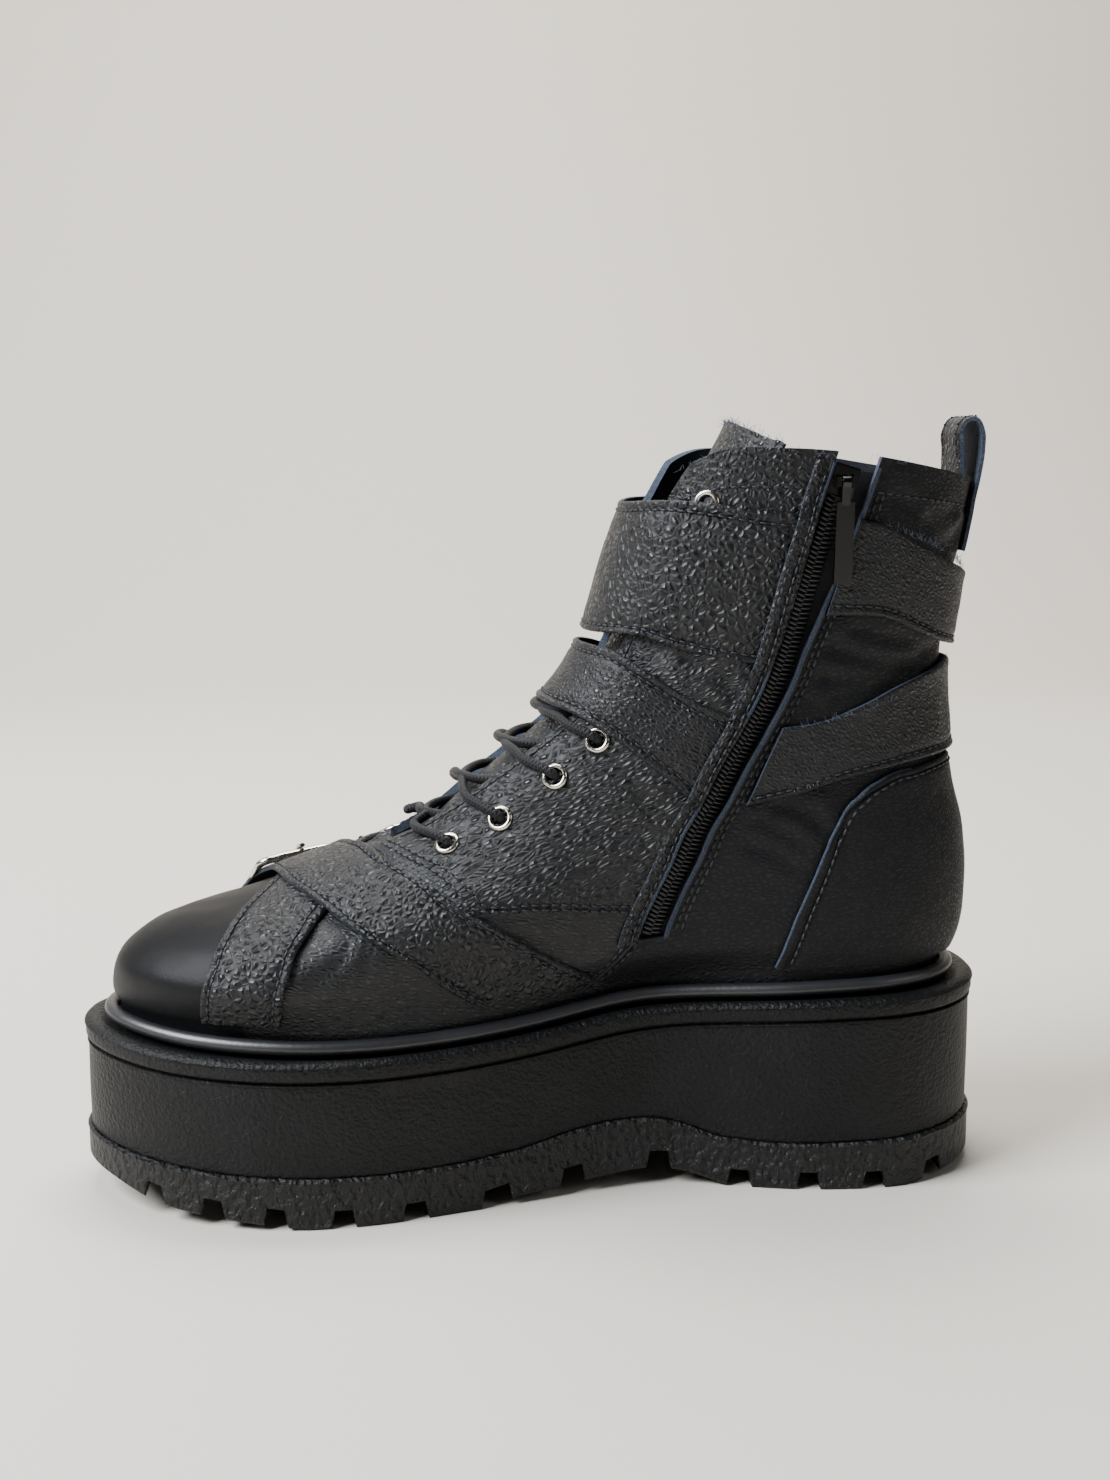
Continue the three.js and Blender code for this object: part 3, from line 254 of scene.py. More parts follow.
SMOOTH_LEATHER = fibrous(
    "smooth_pressed_leather", "#0a0b0d", "#0e0f12", 0.8, 0.09, 0.50, IOR=1.5, Specular_IOR_Level=0.17)
COUNTER_LEATHER = pebbled_leather(
    "pressed_counter_leather", 1.3, 0.09, (1.8, 1, 0.8), -25, gloss=0.40, shine=0.24)
RAW_EDGE = fibrous("raw_navy_hide_edge", "#222b3a", "#465163", 0.5, 0.30, 0.9)
FUZZ = fibrous("pale_hide_fuzz", "#3a4352", "#5d6778", 0.5, 0.05, 0.9)
DARK_EDGE = fibrous("inked_hide_edge", "#12161e", "#232b39", 0.5, 0.20, 0.8)
LINING = fibrous("brushed_black_lining", "#0e1016", "#1d222d", 0.7, 0.30, 0.95)
SOCK = fibrous("black_sock_leather", "#141416", "#1d1d20", 0.8, 0.08, 0.7)
THREAD = fibrous("black_polyester_thread", "#14161b", "#2b303a", 0.4, 0.10, 0.5, IOR=1.5)
# A near-black finish for the bars that paint the shade inside the needle holes: painted shade.
HOLE_SHADE = fibrous("painted_hole_shade", "#020203", "#050506", 0.4, 0.05, 1.0)
ZIP_TAPE = fibrous("woven_zip_tape", "#0d0e11", "#191b20", 0.5, 0.20, 0.85)
ZIP_TEETH = fibrous("black_nylon_coil", "#0c0d0f", "#15161a", 0.6, 0.05, 0.35, IOR=1.53)


# %% [markdown]
# ### Rubber
# The platform is moulded rubber. Its wall copies the fine leather-like grain of the mould, the outsole's
# edge is hammered in hollows of 2 to 3 mm, and the bead round the feather line is polished by the mould's
# split; the bead's colour is also painted lighter, as a painted sheen. The same two textures serve all
# three, at other sizes and depths.


# %% Rubber
def moulded_rubber(
    name, hollow_mm, depth_mm, roughness, base="#08090b", lighter="#0f1012", stretch=(1, 1, 1), gleam=0.22,
):
    """Rubber that copies a mould: soft hollows of one size, a finer grain and a little dust."""
    material, tree, shader = new_finish(name, IOR=1.52, Roughness=roughness, Specular_IOR_Level=gleam)
    place = scaled_place(tree, stretch)
    size = 1 / (hollow_mm * MM)
    cells = add_node(
        tree, "ShaderNodeTexVoronoi", {"feature": "SMOOTH_F1"},
        {"Vector": bent_place(tree, place, hollow_mm, 0.6, 1.6), "Scale": size, "Smoothness": 0.6})
    fine = add_node(tree, "ShaderNodeTexNoise", None, {"Vector": place, "Scale": size * 2.6, "Detail": 4.0})
    total = add_node(
        tree, "ShaderNodeMath", {"operation": "MULTIPLY_ADD"},
        {0: fine.outputs[0], 1: 0.5, 2: cells.outputs["Distance"]})
    bumped(tree, shader, total.outputs[0], depth_mm * MM)
    dust = add_node(tree, "ShaderNodeTexNoise", None, {"Vector": place, "Scale": 45, "Detail": 4.0})
    share = ramp(tree, dust.outputs[0], 0.4, 0.75, 0.0, 1.0)
    tree.links.new(mixed_colour(tree, share, linear(base), linear(lighter)), shader.inputs["Base Color"])
    return material


WALL_RUBBER = moulded_rubber("moulded_wall_rubber", 1.3, 0.42, 0.50)
TREAD_RUBBER = moulded_rubber(
    "hammered_tread_rubber", 2.4, 1.7, 0.50, "#090a0b", "#111214", (0.9, 1, 1.3), 0.34)
# The bead's colour is lighter than the wall's and the tread's, though it is the same rubber: a painted
# sheen for its broad highlight.
BEAD_RUBBER_WITH_PAINTED_SHEEN = moulded_rubber("polished_bead_rubber_painted_sheen", 1.5, 0.04, 0.40, "#1e1f22", "#27282b", gleam=0.8)


# %% [markdown]
# ### Metal
# Eyelets and buckles are nickel plated and a little warm. The plate is smooth, with hairline scratches
# that only change its gloss. The zip's slider and tab are brass under black paint.


# %% Metal
def plated(name, colour, metallic, roughness, scratch):
    """A smooth plated or painted metal whose hairline scratches only change its gloss."""
    material, tree, shader = new_finish(name, Metallic=metallic)
    place = scaled_place(tree, (1, 6, 1))
    lines = add_node(tree, "ShaderNodeTexNoise", None, {"Vector": place, "Scale": 900, "Detail": 3.0})
    tree.links.new(
        ramp(tree, lines.outputs[0], 0.4, 0.7, roughness, roughness + scratch), shader.inputs["Roughness"])
    tone = add_node(tree, "ShaderNodeTexNoise", None, {"Vector": place, "Scale": 120, "Detail": 2.0})
    dull = [c * 0.8 for c in linear(colour)[:3]] + [1]
    share = ramp(tree, tone.outputs[0], 0.4, 0.8, 0, 1)
    tree.links.new(mixed_colour(tree, share, linear(colour), dull), shader.inputs["Base Color"])
    bumped(tree, shader, lines.outputs[0], 0.01 * MM, 0.4)
    return material


NICKEL = plated("nickel_plate", "#d6d0c4", 1.0, 0.14, 0.16)
BLACK_METAL = plated("black_painted_brass", "#040405", 0.0, 0.10, 0.08)


# %% [markdown]
# ### Waxed lace
# The lace is a round cotton braid of 3 mm, waxed, so it is dull with a slight shine on its strands. The
# braid is drawn in the tube's own UV map, where u goes round and v runs along in millimetres: two sets of
# slanting waves cross each other.


# %% Waxed lace
STRAND_MM = 1.3
STRANDS_ROUND = 3


def waxed_braid(name):
    """A braid of two sets of strands that cross, read from the tube's own UV map."""
    material, tree, shader = new_finish(
        name, IOR=1.5, Roughness=0.55, Sheen_Weight=0.02, Specular_IOR_Level=0.25)
    parts = add_node(tree, "ShaderNodeSeparateXYZ", None, {0: add_node(tree, "ShaderNodeUVMap").outputs[0]})
    waves = []
    for turn in (1, -1):
        along = add_node(
            tree, "ShaderNodeMath", {"operation": "MULTIPLY"},
            {0: parts.outputs[1], 1: 2 * math.pi / STRAND_MM})
        phase = add_node(
            tree, "ShaderNodeMath", {"operation": "MULTIPLY_ADD"},
            {0: parts.outputs[0], 1: turn * STRANDS_ROUND * 2 * math.pi, 2: along.outputs[0]})
        wave = add_node(tree, "ShaderNodeMath", {"operation": "SINE"}, {0: phase.outputs[0]})
        waves.append(wave.outputs[0])
    braid = add_node(tree, "ShaderNodeMath", {"operation": "MAXIMUM"}, {0: waves[0], 1: waves[1]})
    bumped(tree, shader, braid.outputs[0], 0.12 * MM)
    # The colour follows the braid's height: darker in the grooves between strands and lighter on the strand
    # tops, as painted shade.
    share = ramp(tree, braid.outputs[0], -0.4, 0.9, 0, 1)
    tree.links.new(
        mixed_colour(tree, share, linear("#060708"), linear("#131519")), shader.inputs["Base Color"])
    return material


LACE = waxed_braid("waxed_cotton_braid")

# %% [markdown]
# ## The boot's form as functions
# The CAD source draws the boot with two functions, and the same two are here, so that every skin lies
# where the solid lies. `outline` gives a point of the sole's edge. `surface` gives a point of the upper's
# face from `a`, the way round (0 in front, -1 at the back over the inner side, +1 over the outer side),
# and `v`, the way up from the sole at 0 to the collar at 1. numpy works on whole grids of points at once,
# which keeps it quick.


# %% Tables of the form, in millimetres
def table(names, rows):
    """A table with named columns, as arrays."""
    return dict(zip(names.split(), np.array(rows, float).T))


SOLE_LENGTH = 290
PLATFORM = 52.4
HEEL_RISE = 11.2
RIM_BAND = 6.7
SHELF = 7.6
BEAD = 2.4
GAP = 0.4
UPPER_HEIGHT = 180
WALL = 2
STRAP = 1.6
FEATHER = SHELF + BEAD + GAP

OUTLINE = table("s mid half", [
    (0, -4.5, 41), (0.12, -7.4, 45), (0.3, 0, 53.5), (0.45, 5.7, 47.8), (0.62, 9, 38.5), (0.8, 2.4, 40.3),
    (1, 2.2, 39)])
LUG = table("s z", [
    (0, 11), (0.04, 8.8), (0.08, 5.6), (0.14, 3.4), (0.2, 1.7), (0.25, 0), (0.43, 0), (0.47, 2.3),
    (0.53, 3.8), (0.58, 5.2), (0.63, 5.8), (0.67, 3.4), (0.705, 0), (0.9, 0), (0.94, 1.7), (1, 3.6)])
WAVE = table("s z", [
    (0, 20.5), (0.07, 18.6), (0.13, 17.4), (0.2, 16.5), (0.35, 15.7), (0.42, 16.2), (0.47, 17.8),
    (0.54, 21.6), (0.58, 22.7), (0.62, 22.5), (0.65, 20.8), (0.69, 16.7), (0.72, 15.7), (0.85, 15.7),
    (1, 18)])
RISE = table("s rise", [
    (0, 0.28), (0.08, 0.13), (0.2, 0.03), (0.35, 0), (0.42, 0.04), (0.5, 0.22), (0.59, 0.52), (0.72, 0.76),
    (0.85, 0.93), (1, 1)])
NOTCHES = [
    (0.085, 0.016), (0.148, 0.019), (0.214, 0.018), (0.284, 0.018), (0.359, 0.02), (0.446, 0.026),
    (0.53, 0.02), (0.627, 0.02), (0.715, 0.02), (0.789, 0.02), (0.861, 0.02), (0.932, 0.018)]
FRONT = table("v x h", [
    (0, -134.6, 0), (0.035, -134.8, 0.027), (0.065, -136.8, 0.05), (0.1, -136, 0.094),
    (0.16, -128.5, 0.145), (0.22, -116, 0.178), (0.3, -98, 0.206), (0.38, -78, 0.24), (0.46, -58, 0.279),
    (0.53, -40, 0.326), (0.6, -23, 0.41), (0.68, -5, 0.494), (0.76, 9.5, 0.572), (0.82, 17, 0.641),
    (0.88, 22, 0.725), (0.94, 27.5, 0.825), (1, 34, 0.931)])
BACK = table("v x h", [
    (0, 134.6, 0.047), (0.035, 135, 0.075), (0.065, 137.4, 0.096), (0.1, 139.2, 0.119),
    (0.22, 141.3, 0.218), (0.35, 140, 0.313), (0.48, 136, 0.402), (0.6, 133.5, 0.491), (0.75, 132, 0.619),
    (0.87, 134.5, 0.752), (1, 140.5, 0.942)])
ROUND = table("v front back", [
    (0, 70, 40), (0.1, 76, 44), (0.2, 102, 46), (0.3, 125, 46), (0.4, 125, 45), (0.5, 110, 43),
    (0.6, 85, 42), (0.7, 66, 41), (0.8, 54, 42), (0.9, 50, 45), (1, 52, 48)])
WIDTH = table("v w0 w1 w2 w3 w4", [
    (0, 39, 43.2, 35, 29.5, 28.5), (0.08, 42, 46, 37, 32, 30.5), (0.16, 44, 47.5, 38.5, 33.5, 31.5),
    (0.3, 44, 45, 38, 34, 31.5), (0.5, 40, 39, 36.5, 34, 30), (0.7, 36, 36, 36, 34, 29),
    (0.85, 37, 37, 37, 36, 31), (1, 39, 39, 39, 38, 34)])
COLLAR = table("t z", [(0, 0), (0.1, 6), (0.2, 10.5), (0.35, 11), (0.55, 9.3), (0.8, 4.5), (1, 0)])
THROAT = table("v a", [
    (0, 0.1), (0.4, 0.07), (0.5, 0.05), (0.54, 0.085), (0.6, 0.135), (0.68, 0.165), (0.8, 0.175),
    (1, 0.16)])
ZIP = table("v a", [
    (0, -0.58), (0.15, -0.568), (0.25, -0.557), (0.37, -0.542), (0.5, -0.522), (0.6, -0.514),
    (0.72, -0.512), (0.85, -0.512), (0.93, -0.522), (1, -0.534)])


# %% The form's functions
def curve(rows, key, column, at):
    """A smooth curve through one column of a table, straight beyond its ends."""
    xs, ys = rows[key], rows[column]
    at = np.asarray(at, float)
    step = np.diff(xs)
    slope = np.diff(ys) / step
    middle = (slope[1:] * step[:-1] + slope[:-1] * step[1:]) / (step[1:] + step[:-1])
    tangent = np.concatenate([slope[:1], middle, slope[-1:]])
    i = np.clip(np.searchsorted(xs, at, side="left") - 1, 0, len(xs) - 2)
    t = (at - xs[i]) / step[i]
    t2, t3 = t * t, t * t * t
    inside = (2 * t3 - 3 * t2 + 1) * ys[i] + (t3 - 2 * t2 + t) * step[i] * tangent[i]
    inside = inside + (3 * t2 - 2 * t3) * ys[i + 1] + (t3 - t2) * step[i] * tangent[i + 1]
    below = ys[0] + (at - xs[0]) * slope[0]
    beyond = ys[-1] + (at - xs[-1]) * slope[-1]
    return np.where(at <= xs[0], below, np.where(at >= xs[-1], beyond, inside))


def mix(low, high, share):
    return low + (high - low) * share


def clamp01(x):
    return np.clip(x, 0, 1)


def smooth(x):
    return clamp01(x) ** 2 * (3 - 2 * clamp01(x))


def round_end(distance, reach):
    return (1 - clamp01(1 - distance / reach) ** 2.2) ** (1 / 2.2)


def rim_z(s):
    return PLATFORM + HEEL_RISE * curve(RISE, "s", "rise", s)


def outline(s, across, out):
    """x and y of the sole's edge moved out; across is -1 at the inner edge and 1 at the outer one."""
    x = -SOLE_LENGTH / 2 - out + (SOLE_LENGTH + 2 * out) * s
    ends = round_end(s, 0.26) * round_end(1 - s, 0.15)
    return x, curve(OUTLINE, "s", "mid", s) + across * (curve(OUTLINE, "s", "half", s) + out) * ends


RIM_TOP = float(rim_z(0)) - 0.5


def half_width(v, t):
    """The upper's half width: five widths at this height, joined by a smooth curve from front to back."""
    widths = np.array([curve(WIDTH, "v", f"w{k}", v) for k in range(5)])
    slope = np.diff(widths, axis=0) / 0.25
    tangent = np.concatenate([slope[:1], (slope[1:] + slope[:-1]) / 2, slope[-1:]])
    i = np.clip((t / 0.25).astype(int), 0, 3)
    u = t / 0.25 - i

    def pick(values, n):
        return np.take_along_axis(values, n[None], 0)[0]

    u2, u3 = u * u, u * u * u
    first = (2 * u3 - 3 * u2 + 1) * pick(widths, i) + (u3 - 2 * u2 + u) * 0.25 * pick(tangent, i)
    return first + (3 * u2 - 2 * u3) * pick(widths, i + 1) + (u3 - u2) * 0.25 * pick(tangent, i + 1)


def surface(a, v):
    """Points of the upper's outer face, in millimetres."""
    a, v = np.broadcast_arrays(np.asarray(a, float), np.asarray(v, float))
    way = np.where(a < -1, a + 2, a)
    side = np.sign(way)
    t = (1 - np.cos(np.pi * way)) / 2
    front, back = curve(FRONT, "v", "x", v), curve(BACK, "v", "x", v)
    low = (1 - clamp01(v)) ** 4
    level = mix(curve(FRONT, "v", "h", v), curve(BACK, "v", "h", v), t) * UPPER_HEIGHT + RIM_TOP
    foot_level = t * BACK["h"][0] * UPPER_HEIGHT + RIM_TOP
    z = level + (rim_z(t) - 0.5 - foot_level) * low + curve(COLLAR, "t", "z", t) * np.minimum(v, 1) ** 6
    length = back - front
    ends = round_end(t * length, curve(ROUND, "v", "front", v))
    ends = ends * round_end((1 - t) * length, curve(ROUND, "v", "back", v))
    x = mix(front, back, t)
    leg = 1 - clamp01(1 - v) ** 1.5
    middle = mix(curve(OUTLINE, "s", "mid", clamp01(x / SOLE_LENGTH + 0.5)), 2.7, leg)
    body = middle + side * half_width(v, t) * ends
    foot = outline(t, side, -FEATHER)[1]
    return np.stack([x, mix(foot, body, smooth((v - 0.035) / 0.085)), z], -1)


def unit(vectors):
    return vectors / np.maximum(np.linalg.norm(vectors, axis=-1, keepdims=True), 1e-12)


def normal(a, v, e=0.002):
    """The outward direction of the upper's face."""
    a, v = np.broadcast_arrays(np.asarray(a, float), np.asarray(v, float))
    return unit(np.cross(surface(a, v + e) - surface(a, v - e), surface(a + e, v) - surface(a - e, v)))


def above(a, v, up):
    """Points at a height above the upper's face."""
    return surface(a, v) + normal(a, v) * np.asarray(up, float)[..., None]


def length_of_a(a, v):
    """Millimetres for one whole unit of a."""
    return np.linalg.norm(surface(a + 0.01, v) - surface(a - 0.01, v), axis=-1) / 0.02


def length_of_v(a, v):
    """Millimetres for one whole unit of v."""
    return np.linalg.norm(surface(a, v + 0.01) - surface(a, v - 0.01), axis=-1) / 0.02


def zip_side(v, mm):
    """The a that lies some millimetres from the zip's middle line, to the front when positive."""
    centre = curve(ZIP, "v", "a", v)
    return centre + mm / length_of_a(centre, v)


def gape(v):
    """How much wider the slot's rear edge stands towards the top, where the zip is pulled apart."""
    return 5 * smooth((np.asarray(v, float) - 0.78) / 0.16)


def throat_a(v):
    """The a of the throat's edge."""
    return curve(THROAT, "v", "a", v)


print("collar's front", surface(0, 1).round(1), "and back", surface(1, 1).round(1))


# %% [markdown]
# ## Seams, edges and creases of the upper
# A line on the upper is a short list of (a, v) points, read off the photograph and smoothed. The leather
# then gets its relief along these lines: a panel that lies on another steps up at its edge by its own
# thickness, a stitched row pulls a shallow trough, and a crease is a soft trough with a ridge beside it.
# Sculpting by hand would look the same, but the numbers can be read, mended and mirrored to the other
# side.


# %% Lines on the upper
def line(*points):
    """A line on the upper through (a, v) points, smoothed and close enough together to measure from."""
    points = np.array(points, float)
    at = np.concatenate([[0], np.cumsum(np.hypot(*np.diff(points, axis=0).T))])
    rows = {"n": at, "a": points[:, 0], "v": points[:, 1]}
    n = np.linspace(0, at[-1], max(12, 8 * len(points)))
    return np.stack([curve(rows, "n", "a", n), curve(rows, "n", "v", n)], -1)


def mirrored(path):
    """The same line on the other side of the boot."""
    return path * [-1, 1]


def beside(path, mm):
    """The line moved sideways over the leather, to the left of its direction when mm is positive."""
    scale = np.stack([length_of_a(*path.T), length_of_v(*path.T)], -1)
    along = unit(np.gradient(path, axis=0) * scale)
    return path + np.stack([-along[:, 1], along[:, 0]], -1) * mm / scale


QUARTER_EDGE = line(
    (-0.045, 0.478), (-0.10, 0.474), (-0.17, 0.455), (-0.24, 0.425), (-0.30, 0.38), (-0.35, 0.325),
    (-0.40, 0.268), (-0.434, 0.263), (-0.47, 0.25), (-0.499, 0.232), (-0.524, 0.22), (-0.545, 0.203))
BELOW_ZIP = line((-0.556, 0.145), (-0.545, 0.085), (-0.527, 0.045))

# How each crease runs over the leather, how wide and deep it is, in millimetres.
CREASES = [
    (line((-0.59, 0.795), (-0.66, 0.775), (-0.76, 0.762)), 2.6, 1.0),
    (line((-0.59, 0.750), (-0.68, 0.742), (-0.80, 0.765)), 2.4, 0.9),
    (line((-0.62, 0.715), (-0.70, 0.722), (-0.76, 0.740)), 2.0, 0.7),
    (line((-0.62, 0.820), (-0.72, 0.800), (-0.84, 0.775)), 2.4, 0.8),
    (line((-0.60, 0.505), (-0.64, 0.480), (-0.665, 0.44)), 2.8, 0.9),
    (line((-0.595, 0.470), (-0.62, 0.440), (-0.65, 0.395)), 2.4, 0.7),
    (line((-0.60, 0.400), (-0.63, 0.370), (-0.655, 0.33)), 2.6, 0.6),
    (line((-0.33, 0.800), (-0.40, 0.775), (-0.45, 0.735)), 2.2, 0.8),
    (line((-0.26, 0.815), (-0.34, 0.790), (-0.42, 0.757)), 2.0, 0.6),
    (line((-0.30, 0.640), (-0.38, 0.600), (-0.45, 0.535)), 2.6, 0.5),
    (line((-0.29, 0.560), (-0.37, 0.520), (-0.47, 0.470)), 2.8, 0.5),
    (line((-0.26, 0.490), (-0.34, 0.455), (-0.45, 0.405)), 2.8, 0.45),
    (line((-0.33, 0.400), (-0.40, 0.370), (-0.49, 0.335)), 2.6, 0.45),
    (line((-0.315, 0.115), (-0.325, 0.17), (-0.31, 0.215)), 2.2, 0.35),
    (line((-0.345, 0.105), (-0.350, 0.155), (-0.335, 0.20)), 2.0, 0.3),
    (line((-0.46, 0.185), (-0.49, 0.165), (-0.52, 0.135)), 2.4, 0.4),
    (line((-0.74, 0.94), (-0.80, 0.925), (-0.88, 0.935)), 3.2, 1.0),
    (line((-0.64, 0.965), (-0.72, 0.95), (-0.82, 0.955)), 2.6, 0.7),
    (line((0.24, 0.60), (0.34, 0.56), (0.46, 0.53)), 3.0, 0.7),
    (line((0.23, 0.52), (0.33, 0.47), (0.47, 0.44)), 3.0, 0.6),
    (line((0.36, 0.76), (0.48, 0.735), (0.62, 0.745)), 2.8, 1.0),
    (line((0.40, 0.725), (0.52, 0.700), (0.66, 0.72)), 2.6, 0.8),
    (line((0.26, 0.42), (0.36, 0.37), (0.50, 0.35)), 3.0, 0.5),
    (line((0.52, 0.49), (0.58, 0.45), (0.64, 0.38)), 2.8, 0.7),
    (line((0.60, 0.955), (0.70, 0.945), (0.82, 0.95)), 3.0, 0.8),
]
# Stitched rows and how wide a trough each pulls.
SEAM_TROUGHS = [
    (beside(QUARTER_EDGE, -3.4), 1.8), (mirrored(beside(QUARTER_EDGE, -3.4)), 1.8), (BELOW_ZIP, 1.8),
    (line((-0.19, 0.968), (-0.3, 0.966), (-0.46, 0.968)), 1.6),
    (line((-0.6, 0.966), (-0.8, 0.966), (-0.98, 0.966)), 1.6)]


def distance_to(points, path):
    """How far each point lies from a line, by the nearest piece of the line."""
    best = np.full(points.shape[:-1], 1e9)
    ends = surface(*path.T)
    for first, second in zip(ends[:-1], ends[1:]):
        along = second - first
        share = clamp01(((points - first) @ along) / max(along @ along, 1e-9))
        best = np.minimum(best, np.linalg.norm(points - first - share[..., None] * along, axis=-1))
    return best


def over_line(a, v, path):
    """True where (a, v) lies above the line, which runs to ever smaller a."""
    order = np.argsort(path[:, 0])
    return v > np.interp(a, path[order, 0], path[order, 1])


def lumps(points, size_mm, seed):
    """A soft random height for each point, the same on each run."""
    flat = (points.reshape(-1, 3) / size_mm) + seed * 7.3
    return np.array([noise.noise(Vector(p)) for p in flat]).reshape(points.shape[:-1])


LAYER = 1.2
SEAM_DEPTH = 0.45


def relief(a, v):
    """The leather's own height above the plain form, in millimetres."""
    a, v = np.broadcast_arrays(np.asarray(a, float), np.asarray(v, float))
    way = np.where(a < -1, a + 2, a)
    points = surface(way, v)
    up = 0.45 * lumps(points, 26, 1) + 0.22 * lumps(points, 9, 2)
    for path, wide, deep in CREASES:
        near = distance_to(points, path)
        up = up - 1.25 * deep * np.exp(-((near / wide) ** 2))
        up = up + 0.5 * deep * np.exp(-(((near - 2 * wide) / wide) ** 2))
    for path, low_a, high_a in ((QUARTER_EDGE, -0.56, -0.02), (mirrored(QUARTER_EDGE), 0.02, 0.56)):
        near = distance_to(points, path)
        side = np.where(over_line(way, v, path), 1, -1)
        inside = smooth((way - low_a) / 0.02) * smooth((high_a - way) / 0.02)
        up = up + LAYER * smooth(0.5 + side * near / 1.6) * inside
    for path, wide in SEAM_TROUGHS:
        up = up - SEAM_DEPTH * np.exp(-((distance_to(points, path) / wide) ** 2))
    up = up * smooth((v - 0.045) / 0.05)
    return up * smooth((1.08 - v) / 0.08)


def skin(a, v, up=0.0):
    """Points at a height above the creased leather."""
    a, v = np.broadcast_arrays(np.asarray(a, float), np.asarray(v, float))
    return surface(a, v) + normal(a, v) * (relief(a, v) + up)[..., None]


# %% [markdown]
# ## Mesh helpers
# Almost every soft piece here is a sheet of some thickness: a grid of outer points, the same grid inside,
# and a strip that closes its rim. The rim's faces get their own finish, which shows the cut edge of the
# hide.


# %% Mesh helpers
made_pieces = {}


def add_piece(name, points, faces, finishes, finish_of=None, sharp=38, uv=None, replaced=()):
    """Makes one closed mesh from points in millimetres, turns it outwards and lets it ride on the boot."""
    mesh = bpy.data.meshes.new(name)
    points = np.asarray(points, float)
    corners = [points[[f[k] for f in faces]] for k in (0, 1, 2)]
    volume = np.einsum("ij,ij->", corners[0], np.cross(corners[1], corners[2]))
    if volume < 0:
        faces = [tuple(reversed(f)) for f in faces]
        uv = None if uv is None else [list(reversed(u)) for u in uv]
    mesh.from_pydata((points * MM).tolist(), [], faces)
    for finish in finishes:
        mesh.materials.append(finish)
    if finish_of is not None:
        mesh.polygons.foreach_set("material_index", np.asarray(finish_of, np.int32))
    if uv is not None:
        layer = mesh.uv_layers.new(name="UVMap")
        layer.data.foreach_set("uv", np.array([c for u in uv for c in u], np.float32).ravel())
    mesh.polygons.foreach_set("use_smooth", np.ones(len(faces), bool))
    mesh.set_sharp_from_angle(angle=math.radians(sharp))
    mesh.update()
    piece = bpy.data.objects.new(name, mesh)
    bpy.context.scene.collection.objects.link(piece)
    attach(piece, "boot")
    if replaced:
        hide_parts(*replaced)
    made_pieces[name] = len(faces)
    return piece


def sheet_faces(rows, columns, closed=False, present=None):
    """Faces of a sheet with two layers and a rim, and which of the three each face belongs to."""
    count = rows * columns
    cells = columns if closed else columns - 1
    if present is None:
        present = np.ones((rows - 1, cells), bool)
    faces, part = [], []
    for j in range(rows - 1):
        for i in range(cells):
            if not present[j, i]:
                continue
            n = (i + 1) % columns
            p, q, r, s = j * columns + i, j * columns + n, (j + 1) * columns + n, (j + 1) * columns + i
            faces.append((p, q, r, s))
            faces.append((p + count, s + count, r + count, q + count))
            part += [0, 1]
            left = (i - 1) % cells if closed else i - 1
            right = (i + 1) % cells if closed else i + 1
            edges = []
            if j == 0 or not present[j - 1, i]:
                edges.append((q, p))
            if j == rows - 2 or not present[j + 1, i]:
                edges.append((s, r))
            if left < 0 or not present[j, left]:
                edges.append((p, s))
            if right >= cells or not present[j, right]:
                edges.append((r, q))
            for g, h in edges:
                faces.append((g, h, h + count, g + count))
                part.append(2)
    return faces, np.array(part)


def two_layers(outer, inner):
    """The points of both layers of a sheet in one list, the outer ones first."""
    return np.concatenate([outer.reshape(-1, 3), inner.reshape(-1, 3)])


def tube_mesh(path, radius, sides, up=None, closed=False, stretch=1.0):
    """Points, faces and UVs of a round tube along points; stretch widens it across `up`."""
    path = np.asarray(path, float)
    count = len(path)
    before, after = np.roll(path, 1, 0), np.roll(path, -1, 0)
    if not closed:
        before[0], after[-1] = path[0], path[-1]
    along = unit(after - before)
    ups = np.empty_like(path)
    guide = np.array(up if up is not None else (0, 0, 1), float)
    for i in range(count):
        guide = guide if up is not None else guide - (guide @ along[i]) * along[i]
        ups[i] = guide
    side = unit(np.cross(ups, along))
    rise = np.cross(along, side)
    radius = np.broadcast_to(np.asarray(radius, float), (count,))
    angle = 2 * np.pi * np.arange(sides) / sides
    ring = (
        path[:, None]
        + side[:, None] * (radius[:, None] * np.cos(angle) * stretch)[..., None]
        + rise[:, None] * (radius[:, None] * np.sin(angle))[..., None]
    )
    run = np.concatenate([[0], np.cumsum(np.linalg.norm(np.diff(path, axis=0), axis=1))])
    faces, uv = [], []
    for i in range(count if closed else count - 1):
        j = (i + 1) % count
        for k in range(sides):
            n = (k + 1) % sides
            faces.append((i * sides + k, i * sides + n, j * sides + n, j * sides + k))
            v0, v1 = run[i], run[i + 1] if i + 1 < count else run[i] + 1
            u0, u1 = k / sides, (k + 1) / sides
            uv.append([(u0, v0), (u1, v0), (u1, v1), (u0, v1)])
    if not closed:
        faces += [tuple(range(sides))[::-1], tuple((count - 1) * sides + k for k in range(sides))]
        uv += [[(0, 0)] * sides] * 2
    return ring.reshape(-1, 3), faces, uv


def joined_tubes(parts):
    """Several tubes as one mesh."""
    points, faces, uv = [], [], []
    for part_points, part_faces, part_uv in parts:
        start = sum(len(p) for p in points)
        points.append(part_points)
        faces += [tuple(i + start for i in f) for f in part_faces]
        uv += part_uv
    return np.concatenate(points), faces, uv


